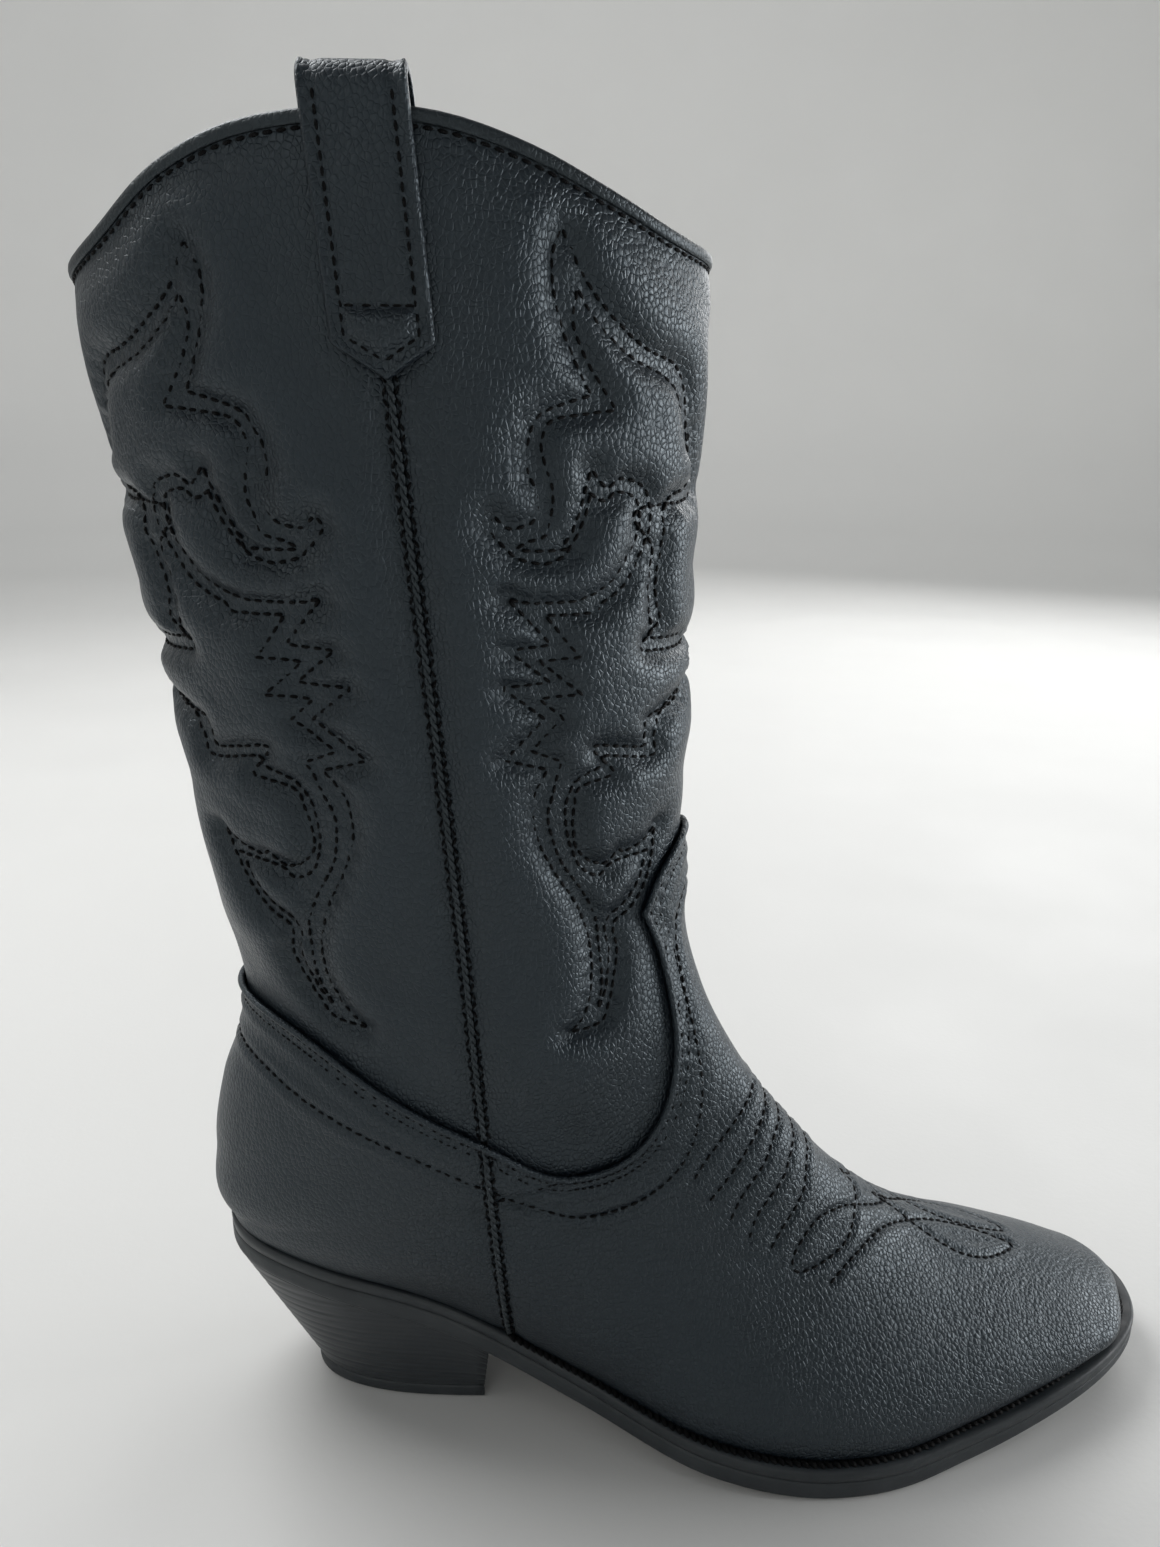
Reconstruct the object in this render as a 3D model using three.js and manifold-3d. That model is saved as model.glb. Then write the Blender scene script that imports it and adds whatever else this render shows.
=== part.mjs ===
// Pull-on western boot, right foot, built as an assembly of its separate leather, sole and heel pieces.
// Millimetres, +Z up. While the pieces are being made, x runs forward from the rearmost point of the
// sole, y runs to the inner (medial) side and z runs up from the floor. The finished group is moved so
// that its origin is the bottom centre of its bounding box.
import * as THREE from 'three';
import { mergeVertices } from 'three/addons/utils/BufferGeometryUtils.js';
import Module from 'manifold-3d';

const wasm = await Module();
wasm.setup();

// ---------------------------------------------------------------- driving dimensions
const SOLE_LENGTH = 285;
const GAP = 0.3;                   // clearance left between two pieces that touch
const FAR = 400;                   // reach of a cutting prism past the boot
const CUT_MARGIN = 10;             // how far a cutter runs past the piece it trims

// wall of the upper, as depths below the outer surface
const LEATHER = 1.4;               // thickness of the outer synthetic leather
const LINING = 0.8;
const SHAFT_LINING_DEPTH = 4.2;    // the lining of the shaft lies under the quilting foam
const FOOT_LINING_DEPTH = 3.4;     // the lining of the foot lies under stiffener or lapped leather
const LAP_DEPTH = LEATHER + GAP;   // where the shaft leather dives under the vamp and the counter
const LAP_WIDTH = 9;
const STIFFENER = { puffBack: 226, counterLow: 70, counterHigh: 62, belowLap: 5 };   // front to back limits
const LAP_FLAT = 14;               // above the lap edge the leather stays low for this far
const LAP_RISE = 34;               // and is back on the outer surface here

// side profile of the upper: back point and front point of each section, top to toe. From FIRST_FOOT
// on, the back point is on the feather line, where the upper meets the welt, and only its x is given.
const FRONT_X = [138, 135.5, 133.5, 133.5, 136, 136, 140, 146, 156, 166, 182, 199, 217, 236, 254, 269, 277.5, 281];
const FRONT_Z = [360, 310, 260, 210, 165, 148, 133, 120, 103.5, 90.5, 72.5, 58, 48.5, 41, 35, 29, 24.3, 18.5];
const BACK_X = [-22.5, -16, -9, -1.3, 5, 8.5, 1.3, -2.6, 1, 45, 95, 140, 180, 213, 238, 256, 270, 279.5];
const BACK_Z = [360, 310, 260, 210, 165, 124, 100, 78];
const HALF_WIDTH = [47, 46, 43.5, 39.5, 37, 36, 35, 34, 34, 35, 38, 42, 45.5, 43, 36, 29, 20.5, 0.5];
const LEAN_BACK = [0, 0, 0, 0, 0, 0, 0.05, 0.1, 0.15, 0.2, 0.25, 0.3, 0.3, 0.3, 0.3, 0.3, 0.3, 0.3];
const FULLNESS = [1, 1, 1, 1, 1, 1, 1, 1, 0.95, 0.9, 0.95, 1, 1.08, 1.1, 1.1, 1.08, 1, 1];
const FIRST_FOOT = 8;
const ROWS = [0.2, 0.7, 1.4, 2.1, 2.8, 3.4, 4, 4.5, 5, 5.6, 6.2, 6.8, 7.4, 8, 8.08, 8.3, 8.7, 9.3, 9.9, 10.5,
  11.1, 11.8, 12.5, 13.2, 13.9, 14.6, 15.3, 16, 16.6, 17];
const COLUMNS = 10;                // facets from back to front on each side of a section

// sole, measured along x
const SOLE_X = [0, 20, 70, 110, 150, 185, 215, 250, 285];
const SOLE_BOTTOM = [46.4, 43.2, 27.6, 10.6, 2.4, -0.4, 1, 6, 9.5];
const EDGE_X = [0, 70, 150, 200, 285];
const EDGE_HEIGHT = [9.2, 10, 9.5, 9.3, 7];
const FEATHER_X = [0, 70, 120, 200, 285];
const FEATHER_INSET = [1, 1, 2.6, 3.7, 5.3];
const OUTLINE_TURN = [0, 0.12, 0.22, 0.33, 0.42, 0.5, 0.6, 0.68, 0.77, 0.87, 0.94, 1];
const OUTLINE_HALF = [0, 19.3, 27.2, 29, 32.7, 41.5, 48, 44.2, 34.9, 21.4, 11.4, 0];
const OUTLINE_MIDDLE = [0, 0.1, -0.8, -1, -5.7, -13.5, -10, -3.2, 0.1, 2.6, 4.6, 6];
const SOLE_STEPS = 36;
const WELT_HEIGHT = 3.4;
const WELT_WIDTH = 10;
const TIP_MARGIN = 2;              // extra width of the welt at the point of the toe
const BOARD_HEIGHT = 1.6;
const SOCK_HEIGHT = 2;
const INSIDE_INSET = FOOT_LINING_DEPTH + LINING + 2.2;   // feather line to sock liner edge
const PAD_HEIGHT = 2.5;
const PAD_BACK = 12;
const PAD_FRONT = 58;
const PAD_RAMP = 22;

// heel
const BREAST_X = 80;
const HEEL_BASE_BACK = 24.2;
const HEEL_BASE_FRONT = 78;
const HEEL_BASE_HALF = 23.3;
const LIFT_HEIGHT = 4;
const BREAST_HOLLOW = 3;           // how far the front face of the heel bows inward
const HEEL_SCREW = { x: 42, y: 0, radius: 2, head: 4, length: 30 };
const HEEL_NAIL = { radius: 1, head: 1.9, length: 22, places: [[26, -11], [26, 11], [62, -15], [62, 15]] };
const HEAD_HEIGHT = 1.2;
const PIN_CLEAR = 8;               // height of the bore kept open above a fastener's head
const SHANK = { back: 56, front: 146, half: 7, thickness: 1.2 };
const RIVET = { radius: 1.4, head: 2.4, places: [[66, 0], [140, -12]] };

// seams, drawn in the side view as [x, z]
const SEAM_TOP = [61, 320];        // the side seam is one straight line down both sides
const SEAM_LEAN = 0.088;           // millimetres forward for each millimetre down
const WELT_CORD_HALF = 1.4;
const WELT_CORD_PROUD = 0.8;
const FOOT_EDGE = [[-30, 133], [11, 131], [31, 125.5], [58, 110.5], [79, 99.6], [99.7, 88.3], [117.2, 91],
  [127.8, 102], [131.8, 121], [127.4, 145.9], [122.6, 158], [127.9, 169.2], [137, 178.5], [165, 196]];
const FOAM_MARGIN = 5;             // from the side seam to the foam
const FOAM_BELOW_RIM = 10;
const RIM_TOP = 340.7;
const RIM = [[-40, 314], [-16, 315.5], [-2, 320.5], [15, 331.3], [33, 338], [58, RIM_TOP], [75, 340.2],
  [94, 335.3], [112, 328], [130, 321.3], [170, 318]];
const FOAM_EDGE = [[-40, 182], [45, 172], [78, 158], [95, 206], [125, 238], [170, 242]];

// top binding and pull straps
const BINDING = { wall: 0.6, top: 0.8, drop: 6 };
const WALL_DEPTH = SHAFT_LINING_DEPTH + LINING;
const STRAP = { width: 22, thickness: 2, tip: 290, shoulder: 297, bend: 320, loop: 350.3, inside: 318, lean: 0.085 };
const STRAP_BOW = 1;               // the inner leg stands this much further from the lining

// ---------------------------------------------------------------- materials
const material = (color, roughness, metalness = 0) => new THREE.MeshStandardMaterial({ color, roughness, metalness });
const finish = {
  leather: () => material(0x20262c, 0.45),
  trim: () => material(0x14181c, 0.5),
  lining: () => material(0x1d1f22, 0.9),
  foam: () => material(0x8f9194, 0.95),
  stiffener: () => material(0xb9ab93, 0.85),
  board: () => material(0xa08462, 0.9),
  sock: () => material(0x26282b, 0.85),
  rubber: () => material(0x3b4044, 0.6),
  heel: () => material(0x24292d, 0.5),
  cork: () => material(0xa67c52, 0.95),
  steel: () => material(0x9aa0a6, 0.35, 1),
};

// ---------------------------------------------------------------- curves and numbers
function smoothCurve(keys, values, at) {
  // cubic through the points, its slope at each point averaged from both sides
  const last = keys.length - 2;
  let i = 0;
  while (i < last && at > keys[i + 1]) i += 1;
  const rise = (j) => (values[j + 1] - values[j]) / (keys[j + 1] - keys[j]);
  const slope = (j) => {
    if (j === 0) return rise(0);
    if (j === keys.length - 1) return rise(j - 1);
    const before = keys[j] - keys[j - 1];
    const after = keys[j + 1] - keys[j];
    return (rise(j - 1) * after + rise(j) * before) / (before + after);
  };
  const span = keys[i + 1] - keys[i];
  const t = (at - keys[i]) / span;
  const t2 = t * t;
  const t3 = t2 * t;
  return (2 * t3 - 3 * t2 + 1) * values[i] + (t3 - 2 * t2 + t) * span * slope(i)
    + (3 * t2 - 2 * t3) * values[i + 1] + (t3 - t2) * span * slope(i + 1);
}

const lerp = THREE.MathUtils.lerp;
const smoothstep = (x, low, high) => THREE.MathUtils.smoothstep(x, low, high);
const stationNumbers = FRONT_X.map((_, index) => index);
const atStation = (values, s) => smoothCurve(stationNumbers.slice(0, values.length), values, s);

const xAtTurn = (turn) => SOLE_LENGTH * (1 - Math.cos(Math.PI * turn)) / 2;
const turnAtX = (x) => Math.acos(THREE.MathUtils.clamp(1 - 2 * x / SOLE_LENGTH, -1, 1)) / Math.PI;
const soleBottom = (x) => Math.max(0, smoothCurve(SOLE_X, SOLE_BOTTOM, THREE.MathUtils.clamp(x, 0, SOLE_LENGTH)));
const soleTop = (x) => soleBottom(x) + smoothCurve(EDGE_X, EDGE_HEIGHT, THREE.MathUtils.clamp(x, 0, SOLE_LENGTH));
const soleHalf = (x) => Math.max(0, smoothCurve(OUTLINE_TURN, OUTLINE_HALF, turnAtX(x)));
const soleMiddle = (x) => smoothCurve(OUTLINE_TURN, OUTLINE_MIDDLE, turnAtX(x));
const featherInset = (x) => smoothCurve(FEATHER_X, FEATHER_INSET, x);

// ---------------------------------------------------------------- outer surface of the upper
function ovalShape(angle, fullness, lean) {
  return Math.sin(angle) ** fullness * (1 + lean * Math.cos(angle));
}

function widestAngle(fullness, lean) {
  let low = 0.5;
  let high = Math.PI - 0.5;
  for (let i = 0; i < 40; i += 1) {
    const a = low + (high - low) / 3;
    const b = high - (high - low) / 3;
    if (ovalShape(a, fullness, lean) < ovalShape(b, fullness, lean)) low = a;
    else high = b;
  }
  return (low + high) / 2;
}

function startAngle(share, widest, fullness, lean) {
  // angle on the rising side of the oval where it is this share of its widest
  const full = ovalShape(widest, fullness, lean);
  let low = 0;
  let high = widest;
  for (let i = 0; i < 40; i += 1) {
    const middle = (low + high) / 2;
    if (ovalShape(middle, fullness, lean) < share * full) low = middle;
    else high = middle;
  }
  return (low + high) / 2;
}

function upperPoint(s, v, side) {
  // point of section s, from its back or feather (v = 0) to its front ridge (v = 1)
  const front = { x: atStation(FRONT_X, s), z: atStation(FRONT_Z, s) };
  const onFeather = s >= FIRST_FOOT;
  const back = { x: atStation(BACK_X, s) };
  back.z = onFeather ? soleTop(back.x) + GAP : backHeight(s);
  const fullness = atStation(FULLNESS, s);
  const lean = atStation(LEAN_BACK, s);
  const half = Math.max(0.5, atStation(HALF_WIDTH, s));
  const openHalf = onFeather ? Math.max(0, soleHalf(back.x) - featherInset(back.x)) : 0;
  const widest = widestAngle(fullness, lean);
  const start = openHalf > 0 ? startAngle(Math.min(openHalf / half, 0.999), widest, fullness, lean) : 0;
  const angle = lerp(start, Math.PI, v);
  const q = (Math.cos(start) - Math.cos(angle)) / (Math.cos(start) + 1);
  const scale = half / ovalShape(widest, fullness, lean);
  const middleBack = onFeather ? soleMiddle(back.x) : 0;
  const middleFront = 0.9 * soleMiddle(front.x) * smoothstep(s, 4, 7);
  const y = lerp(middleBack, middleFront, q) + side * scale * Math.max(0, ovalShape(angle, fullness, lean));
  return new THREE.Vector3(lerp(back.x, front.x, q), y, lerp(back.z, front.z, q));
}

function backHeight(s) {
  // above the feather line the back of the boot is given; it runs down onto the welt
  const heights = [...BACK_Z, soleTop(BACK_X[FIRST_FOOT]) + GAP];
  return smoothCurve(stationNumbers.slice(0, heights.length), heights, s);
}

function upperSheet(lastRow = ROWS.length) {
  // one facetted sheet over the whole boot: closed round the shaft, open along the feather line
  const rows = ROWS.slice(0, lastRow);
  const points = [];
  const stations = [];
  const width = 2 * COLUMNS + 1;
  for (const s of rows) {
    for (let j = 0; j < width; j += 1) {
      const side = j <= COLUMNS ? -1 : 1;
      const v = side < 0 ? j / COLUMNS : 2 - j / COLUMNS;
      points.push(upperPoint(s, v, side));
      stations.push(s);
    }
  }
  const triangles = [];
  const closedBelow = (i) => rows[i] <= FIRST_FOOT;
  const id = (i, j) => i * width + (j === width - 1 && closedBelow(i) ? 0 : j);
  const add = (a, b, c) => {
    const apart = (p, q) => points[p].distanceTo(points[q]) > 1e-6;
    if (apart(a, b) && apart(b, c) && apart(c, a)) triangles.push([a, b, c]);
  };
  for (let i = 0; i + 1 < rows.length; i += 1) {
    for (let j = 0; j + 1 < width; j += 1) {
      add(id(i, j), id(i + 1, j), id(i + 1, j + 1));
      add(id(i, j), id(i + 1, j + 1), id(i, j + 1));
    }
  }
  return { points, triangles, stations, normals: sheetNormals(points, triangles) };
}

function sheetNormals(points, triangles) {
  const normals = points.map(() => new THREE.Vector3());
  for (const [a, b, c] of triangles) {
    const edge = points[b].clone().sub(points[a]);
    const face = edge.cross(points[c].clone().sub(points[a]));
    for (const corner of [a, b, c]) normals[corner].add(face);
  }
  return normals.map((normal) => normal.normalize());
}

// ---------------------------------------------------------------- closed solids
function geometryOf(points, triangles) {
  const geometry = new THREE.BufferGeometry();
  geometry.setAttribute('position', new THREE.Float32BufferAttribute(points.flatMap((p) => [p.x, p.y, p.z]), 3));
  geometry.setIndex(triangles.flat());
  return geometry;
}

function solidOf(geometry) {
  const plain = geometry.clone();
  plain.deleteAttribute('normal');
  plain.deleteAttribute('uv');
  const merged = mergeVertices(plain, 1e-5);
  const mesh = new wasm.Mesh({
    numProp: 3,
    vertProperties: new Float32Array(merged.attributes.position.array),
    triVerts: new Uint32Array(merged.index.array),
  });
  mesh.merge();
  return new wasm.Manifold(mesh);
}

function geometryFrom(solid) {
  const mesh = solid.getMesh();
  const geometry = new THREE.BufferGeometry();
  geometry.setAttribute('position', new THREE.BufferAttribute(mesh.vertProperties.slice(), 3));
  geometry.setIndex(new THREE.BufferAttribute(mesh.triVerts.slice(), 1));
  return geometry;
}

function shellSolid(sheet, outerDepth, innerDepth) {
  // the space between two depths below the sheet; each depth is a function of station and point
  const count = sheet.points.length;
  const sink = (depth) => sheet.points.map((point, i) => {
    const far = depth(sheet.stations[i], point);
    return point.clone().addScaledVector(sheet.normals[i], -far);
  });
  const points = [...sink(outerDepth), ...sink(innerDepth)];
  const triangles = [];
  const edges = new Map();
  for (const [a, b, c] of sheet.triangles) {
    triangles.push([a, b, c], [a + count, c + count, b + count]);
    for (const [from, to] of [[a, b], [b, c], [c, a]]) edges.set(`${from}_${to}`, [from, to]);
  }
  for (const [from, to] of edges.values()) {
    if (!edges.has(`${to}_${from}`)) {
      triangles.push([from, from + count, to + count], [from, to + count, to]);
    }
  }
  return solidOf(geometryOf(points, triangles));
}

function prism(outline, yLow = -FAR, yHigh = FAR) {
  // a cutter: an outline drawn in the side view, standing across the boot
  const shape = new THREE.Shape(outline.map(([x, z]) => new THREE.Vector2(x, z)));
  const geometry = new THREE.ExtrudeGeometry(shape, { depth: yHigh - yLow, bevelEnabled: false });
  geometry.rotateX(Math.PI / 2);
  geometry.translate(0, yHigh, 0);
  return solidOf(geometry);
}

function slab(xs, edgeLow, edgeHigh, bottom, top) {
  // a plate across the boot: for each x its two edges and its two faces
  const points = [];
  for (const x of xs) {
    const low = edgeLow(x);
    const high = edgeHigh(x);
    points.push(new THREE.Vector3(x, low, bottom(x)), new THREE.Vector3(x, high, bottom(x)));
    points.push(new THREE.Vector3(x, high, top(x)), new THREE.Vector3(x, low, top(x)));
  }
  const triangles = [[0, 2, 1], [0, 3, 2]];
  for (let i = 0; i + 1 < xs.length; i += 1) {
    for (let j = 0; j < 4; j += 1) {
      const a = 4 * i + j;
      const b = 4 * i + (j + 1) % 4;
      triangles.push([a, b, b + 4], [a, b + 4, a + 4]);
    }
  }
  const end = 4 * (xs.length - 1);
  triangles.push([end, end + 1, end + 2], [end, end + 2, end + 3]);
  return solidOf(geometryOf(points, triangles));
}

function loft(rings) {
  // closed rings of equal length, bottom to top, capped by fans at both ends
  const size = rings[0].length;
  const points = rings.flat();
  const triangles = [];
  for (let i = 0; i + 1 < rings.length; i += 1) {
    for (let j = 0; j < size; j += 1) {
      const a = i * size + j;
      const b = i * size + (j + 1) % size;
      triangles.push([a, b, b + size], [a, b + size, a + size]);
    }
  }
  const middle = (ring) => ring.reduce((sum, p) => sum.add(p), new THREE.Vector3()).divideScalar(size);
  const low = points.push(middle(rings[0])) - 1;
  const high = points.push(middle(rings[rings.length - 1])) - 1;
  const lastRing = (rings.length - 1) * size;
  for (let j = 0; j < size; j += 1) {
    triangles.push([low, (j + 1) % size, j], [high, lastRing + j, lastRing + (j + 1) % size]);
  }
  return solidOf(geometryOf(points, triangles));
}

function pin(x, y, radius, bottom, top, sides = 12) {
  const geometry = new THREE.CylinderGeometry(radius, radius, top - bottom, sides);
  geometry.rotateX(Math.PI / 2);
  geometry.translate(x, y, (top + bottom) / 2);
  return solidOf(geometry);
}

function nodeOf(name, solid, skin) {
  const mesh = new THREE.Mesh(geometryFrom(solid), skin());
  mesh.name = name;
  return mesh;
}

// ---------------------------------------------------------------- side-view seam lines
function throughPoints(points, steps) {
  const curve = new THREE.CatmullRomCurve3(points.map(([x, z]) => new THREE.Vector3(x, 0, z)), false, 'centripetal');
  return curve.getPoints(steps).map((p) => [p.x, p.z]);
}

function offsetLine(line, distance) {
  // moves a line sideways; a positive distance goes to the left of its direction
  return line.map(([x, z], i) => {
    const [ax, az] = line[Math.max(0, i - 1)];
    const [bx, bz] = line[Math.min(line.length - 1, i + 1)];
    const length = Math.hypot(bx - ax, bz - az);
    return [x - distance * (bz - az) / length, z + distance * (bx - ax) / length];
  });
}

const footEdge = throughPoints(FOOT_EDGE, 44);
const rimLine = throughPoints(RIM, 30);
const seamX = (z) => SEAM_TOP[0] + (SEAM_TOP[1] - z) * SEAM_LEAN;
const closeAbove = (line) => [[-FAR, line[0][1]], ...line, [FAR, line.at(-1)[1]], [FAR, FAR], [-FAR, FAR]];
const closeBelow = (line) => [[-FAR, -FAR], [FAR, -FAR], [FAR, line.at(-1)[1]], ...[...line].reverse(), [-FAR, line[0][1]]];
const aboveFoot = (shift) => prism(closeAbove(offsetLine(footEdge, shift)));
const belowFoot = (shift) => prism(closeBelow(offsetLine(footEdge, shift)));
const belowRim = (shift) => prism(closeBelow(offsetLine(rimLine, shift)));

function seamStrip(from, to, yLow, yHigh) {
  // the part of the side view between two distances from the side seam, forward being positive
  const line = (shift) => [[seamX(-FAR) + shift, -FAR], [seamX(FAR) + shift, FAR]];
  return prism([...line(to), ...line(from).reverse()], yLow, yHigh);
}

const aheadOfSeam = (shift) => seamStrip(shift, FAR);
const behindSeam = (shift) => seamStrip(-FAR, -shift);

function heightAboveLap(point) {
  // distance in the side view from the top edge of the vamp and counter, or 0 below it
  const lead = footEdge.findIndex(([x, z], i) => i > 0 && isBetween(point, footEdge[i - 1], [x, z]));
  if (lead < 0) return 0;
  return Math.min(...footEdge.map(([x, z]) => Math.hypot(point.x - x, point.z - z)));
}

function isBetween(point, from, to) {
  const inside = point.x >= Math.min(from[0], to[0]) && point.x <= Math.max(from[0], to[0]);
  const share = (point.x - from[0]) / (to[0] - from[0]);
  return inside && point.z > lerp(from[1], to[1], share);
}

// ---------------------------------------------------------------- layers of the upper
const sheet = upperSheet();
const shaftSheet = upperSheet(ROWS.findIndex((s) => s >= FIRST_FOOT));
const lapDip = (s, point) => LAP_DEPTH * (1 - smoothstep(heightAboveLap(point), LAP_FLAT, LAP_RISE));
const liningDepth = (s) => lerp(SHAFT_LINING_DEPTH, FOOT_LINING_DEPTH, smoothstep(s, 4.2, 5));

const aboveSole = prism(closeAbove(soleStations(0, SOLE_LENGTH).map((x) => [x, soleTop(x) + GAP])));
const footLeather = shellSolid(sheet, () => 0, () => LEATHER).intersect(aboveSole);
const shaftLeather = shellSolid(sheet, lapDip, (s, p) => lapDip(s, p) + LEATHER);
const liningShell = shellSolid(sheet, liningDepth, (s) => liningDepth(s) + LINING).intersect(aboveSole);

function shaftPanels() {
  const shaft = shaftLeather.intersect(belowRim(0)).intersect(aboveFoot(-LAP_WIDTH));
  const edge = WELT_CORD_HALF + GAP;
  return [
    nodeOf('shaft_front_panel', shaft.intersect(aheadOfSeam(edge)), finish.leather),
    nodeOf('shaft_back_panel', shaft.intersect(behindSeam(edge)), finish.leather),
  ];
}

function quiltingFoam() {
  const foamTop = LEATHER + GAP;
  const foamShell = shellSolid(shaftSheet, () => foamTop, () => SHAFT_LINING_DEPTH - GAP);
  const foam = foamShell.intersect(belowRim(-FOAM_BELOW_RIM)).intersect(prism(closeAbove(FOAM_EDGE)));
  return [
    nodeOf('shaft_front_foam', foam.intersect(aheadOfSeam(FOAM_MARGIN)), finish.foam),
    nodeOf('shaft_back_foam', foam.intersect(behindSeam(FOAM_MARGIN)), finish.foam),
  ];
}

function footLeathers() {
  const foot = footLeather.intersect(belowFoot(0));
  const edge = WELT_CORD_HALF + GAP;
  return [
    nodeOf('vamp', foot.intersect(aheadOfSeam(edge)), finish.leather),
    nodeOf('heel_counter', foot.intersect(behindSeam(edge)), finish.leather),
  ];
}

function linings() {
  const joint = GAP / 2;
  const shaft = liningShell.intersect(belowRim(0)).intersect(aboveFoot(joint));
  const foot = liningShell.intersect(belowFoot(-joint));
  return [
    nodeOf('shaft_front_lining', shaft.intersect(aheadOfSeam(joint)), finish.lining),
    nodeOf('shaft_back_lining', shaft.intersect(behindSeam(joint)), finish.lining),
    nodeOf('vamp_lining', foot.intersect(aheadOfSeam(joint)), finish.lining),
    nodeOf('counter_lining', foot.intersect(behindSeam(joint)), finish.lining),
  ];
}

function stiffeners() {
  const layer = shellSolid(sheet, () => LEATHER + GAP, () => FOOT_LINING_DEPTH - 2 * GAP).intersect(aboveSole);
  const belowLap = prism(closeBelow(footEdge.map(([x, z]) => [x, z - LAP_WIDTH - STIFFENER.belowLap])));
  const puff = prism([[STIFFENER.puffBack, -FAR], [FAR, -FAR], [FAR, FAR], [STIFFENER.puffBack, FAR]]);
  const cup = prism([[-FAR, -FAR], [STIFFENER.counterLow, -FAR], [STIFFENER.counterHigh, FAR], [-FAR, FAR]]);
  return [
    nodeOf('toe_puff', layer.intersect(puff), finish.stiffener),
    nodeOf('counter_stiffener', layer.intersect(cup).intersect(belowLap), finish.stiffener),
  ];
}

function sideWelts() {
  const outer = (s, p) => lapDip(s, p) - WELT_CORD_PROUD;
  const shaftCord = shellSolid(shaftSheet, outer, (s, p) => lapDip(s, p) + LEATHER);
  const footCord = shellSolid(sheet, () => -WELT_CORD_PROUD, () => LEATHER);
  const shaftPart = shaftCord.intersect(belowRim(-BINDING.drop - 2 * GAP)).intersect(aboveFoot(GAP));
  const footPart = footCord.intersect(belowFoot(-GAP)).intersect(aboveSole);
  const nodes = [];
  for (const [side, low, high] of [['lateral', -FAR, 0], ['medial', 0, FAR]]) {
    const strip = seamStrip(-WELT_CORD_HALF, WELT_CORD_HALF, low, high);
    nodes.push(nodeOf(`shaft_welt_${side}`, shaftPart.intersect(strip), finish.trim));
    nodes.push(nodeOf(`foot_welt_${side}`, footPart.intersect(strip), finish.trim));
  }
  return nodes;
}

function topBinding() {
  // a folded tape: outer wall, top and inner wall round the rim
  const outside = shellSolid(shaftSheet, () => -BINDING.wall - GAP, () => WALL_DEPTH + GAP + BINDING.wall);
  const inside = shellSolid(shaftSheet, () => -GAP, () => WALL_DEPTH + GAP);
  const aboveTape = prism(closeAbove(offsetLine(rimLine, -BINDING.drop)));
  const tape = outside.intersect(belowRim(GAP + BINDING.top)).intersect(aboveTape);
  return nodeOf('top_binding', tape.subtract(inside.intersect(belowRim(GAP))), finish.trim);
}

// ---------------------------------------------------------------- pull straps
function ribbonOutline(path, thickness) {
  const half = thickness / 2;
  return [...offsetLine(path, half), ...offsetLine(path, -half).reverse()];
}

function pullStrap(side) {
  // a doubled strap sewn flat outside and inside the shaft, standing up as a loop over the rim
  const station = (z) => (FRONT_Z[0] - z) / (FRONT_Z[0] - FRONT_Z[1]);
  const wallAt = (z) => atStation(HALF_WIDTH, station(z));
  const standOff = BINDING.wall + 2 * GAP + STRAP.thickness / 2;
  const outerLeg = (z) => [wallAt(z) + standOff, z];
  const innerLeg = (z) => [wallAt(z) - WALL_DEPTH - standOff - STRAP_BOW, z];
  const [outerY] = outerLeg(RIM_TOP);
  const [innerY] = innerLeg(RIM_TOP);
  const loopRadius = (outerY - innerY) / 2;
  const archBase = STRAP.loop - STRAP.thickness / 2 - loopRadius;
  const arch = [];
  const archSteps = 8;
  for (let i = 0; i <= archSteps; i += 1) {
    const angle = Math.PI * i / archSteps;
    arch.push([(outerY + innerY) / 2 + loopRadius * Math.cos(angle), archBase + loopRadius * Math.sin(angle)]);
  }
  const path = [outerLeg(STRAP.tip), outerLeg(STRAP.bend), ...arch, innerLeg(STRAP.inside)];
  const shape = new THREE.Shape(ribbonOutline(path, STRAP.thickness).map(([y, z]) => new THREE.Vector2(side * y, z)));
  const depth = STRAP.width + 2 * CUT_MARGIN;
  const geometry = new THREE.ExtrudeGeometry(shape, { depth, bevelEnabled: false });
  geometry.rotateX(Math.PI / 2);
  geometry.rotateZ(Math.PI / 2);
  geometry.translate(seamX(STRAP.tip) - depth / 2, 0, 0);
  return solidOf(geometry).intersect(strapFace());
}

function strapFace() {
  const half = STRAP.width / 2;
  const middle = (z) => seamX(STRAP.tip) - (z - STRAP.tip) * STRAP.lean;
  return prism([
    [middle(STRAP.tip), STRAP.tip],
    [middle(STRAP.shoulder) + half, STRAP.shoulder],
    [middle(STRAP.loop) + half, STRAP.loop + CUT_MARGIN],
    [middle(STRAP.loop) - half, STRAP.loop + CUT_MARGIN],
    [middle(STRAP.shoulder) - half, STRAP.shoulder],
  ]);
}

// ---------------------------------------------------------------- sole
function soleStations(from, to) {
  // shared x values, so that stacked pieces have the same facets; they crowd together where the
  // outline turns round the heel and the toe
  const all = Array.from({ length: SOLE_STEPS + 1 }, (_, i) => xAtTurn(i / SOLE_STEPS));
  return [from, ...all.filter((x) => x > from + 0.5 && x < to - 0.5), to];
}

function edgeAt(x, inset, side) {
  // the sole outline moved inward by a distance measured square to it
  const step = 0.5;
  const near = (value) => THREE.MathUtils.clamp(value, 0, SOLE_LENGTH);
  const run = near(x + step) - near(x - step);
  const slope = (soleHalf(near(x + step)) - soleHalf(near(x - step))) / run;
  const reach = Math.min(inset * Math.hypot(1, slope), inset * 3);
  return soleMiddle(x) + side * Math.max(0, soleHalf(x) - reach);
}

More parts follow.
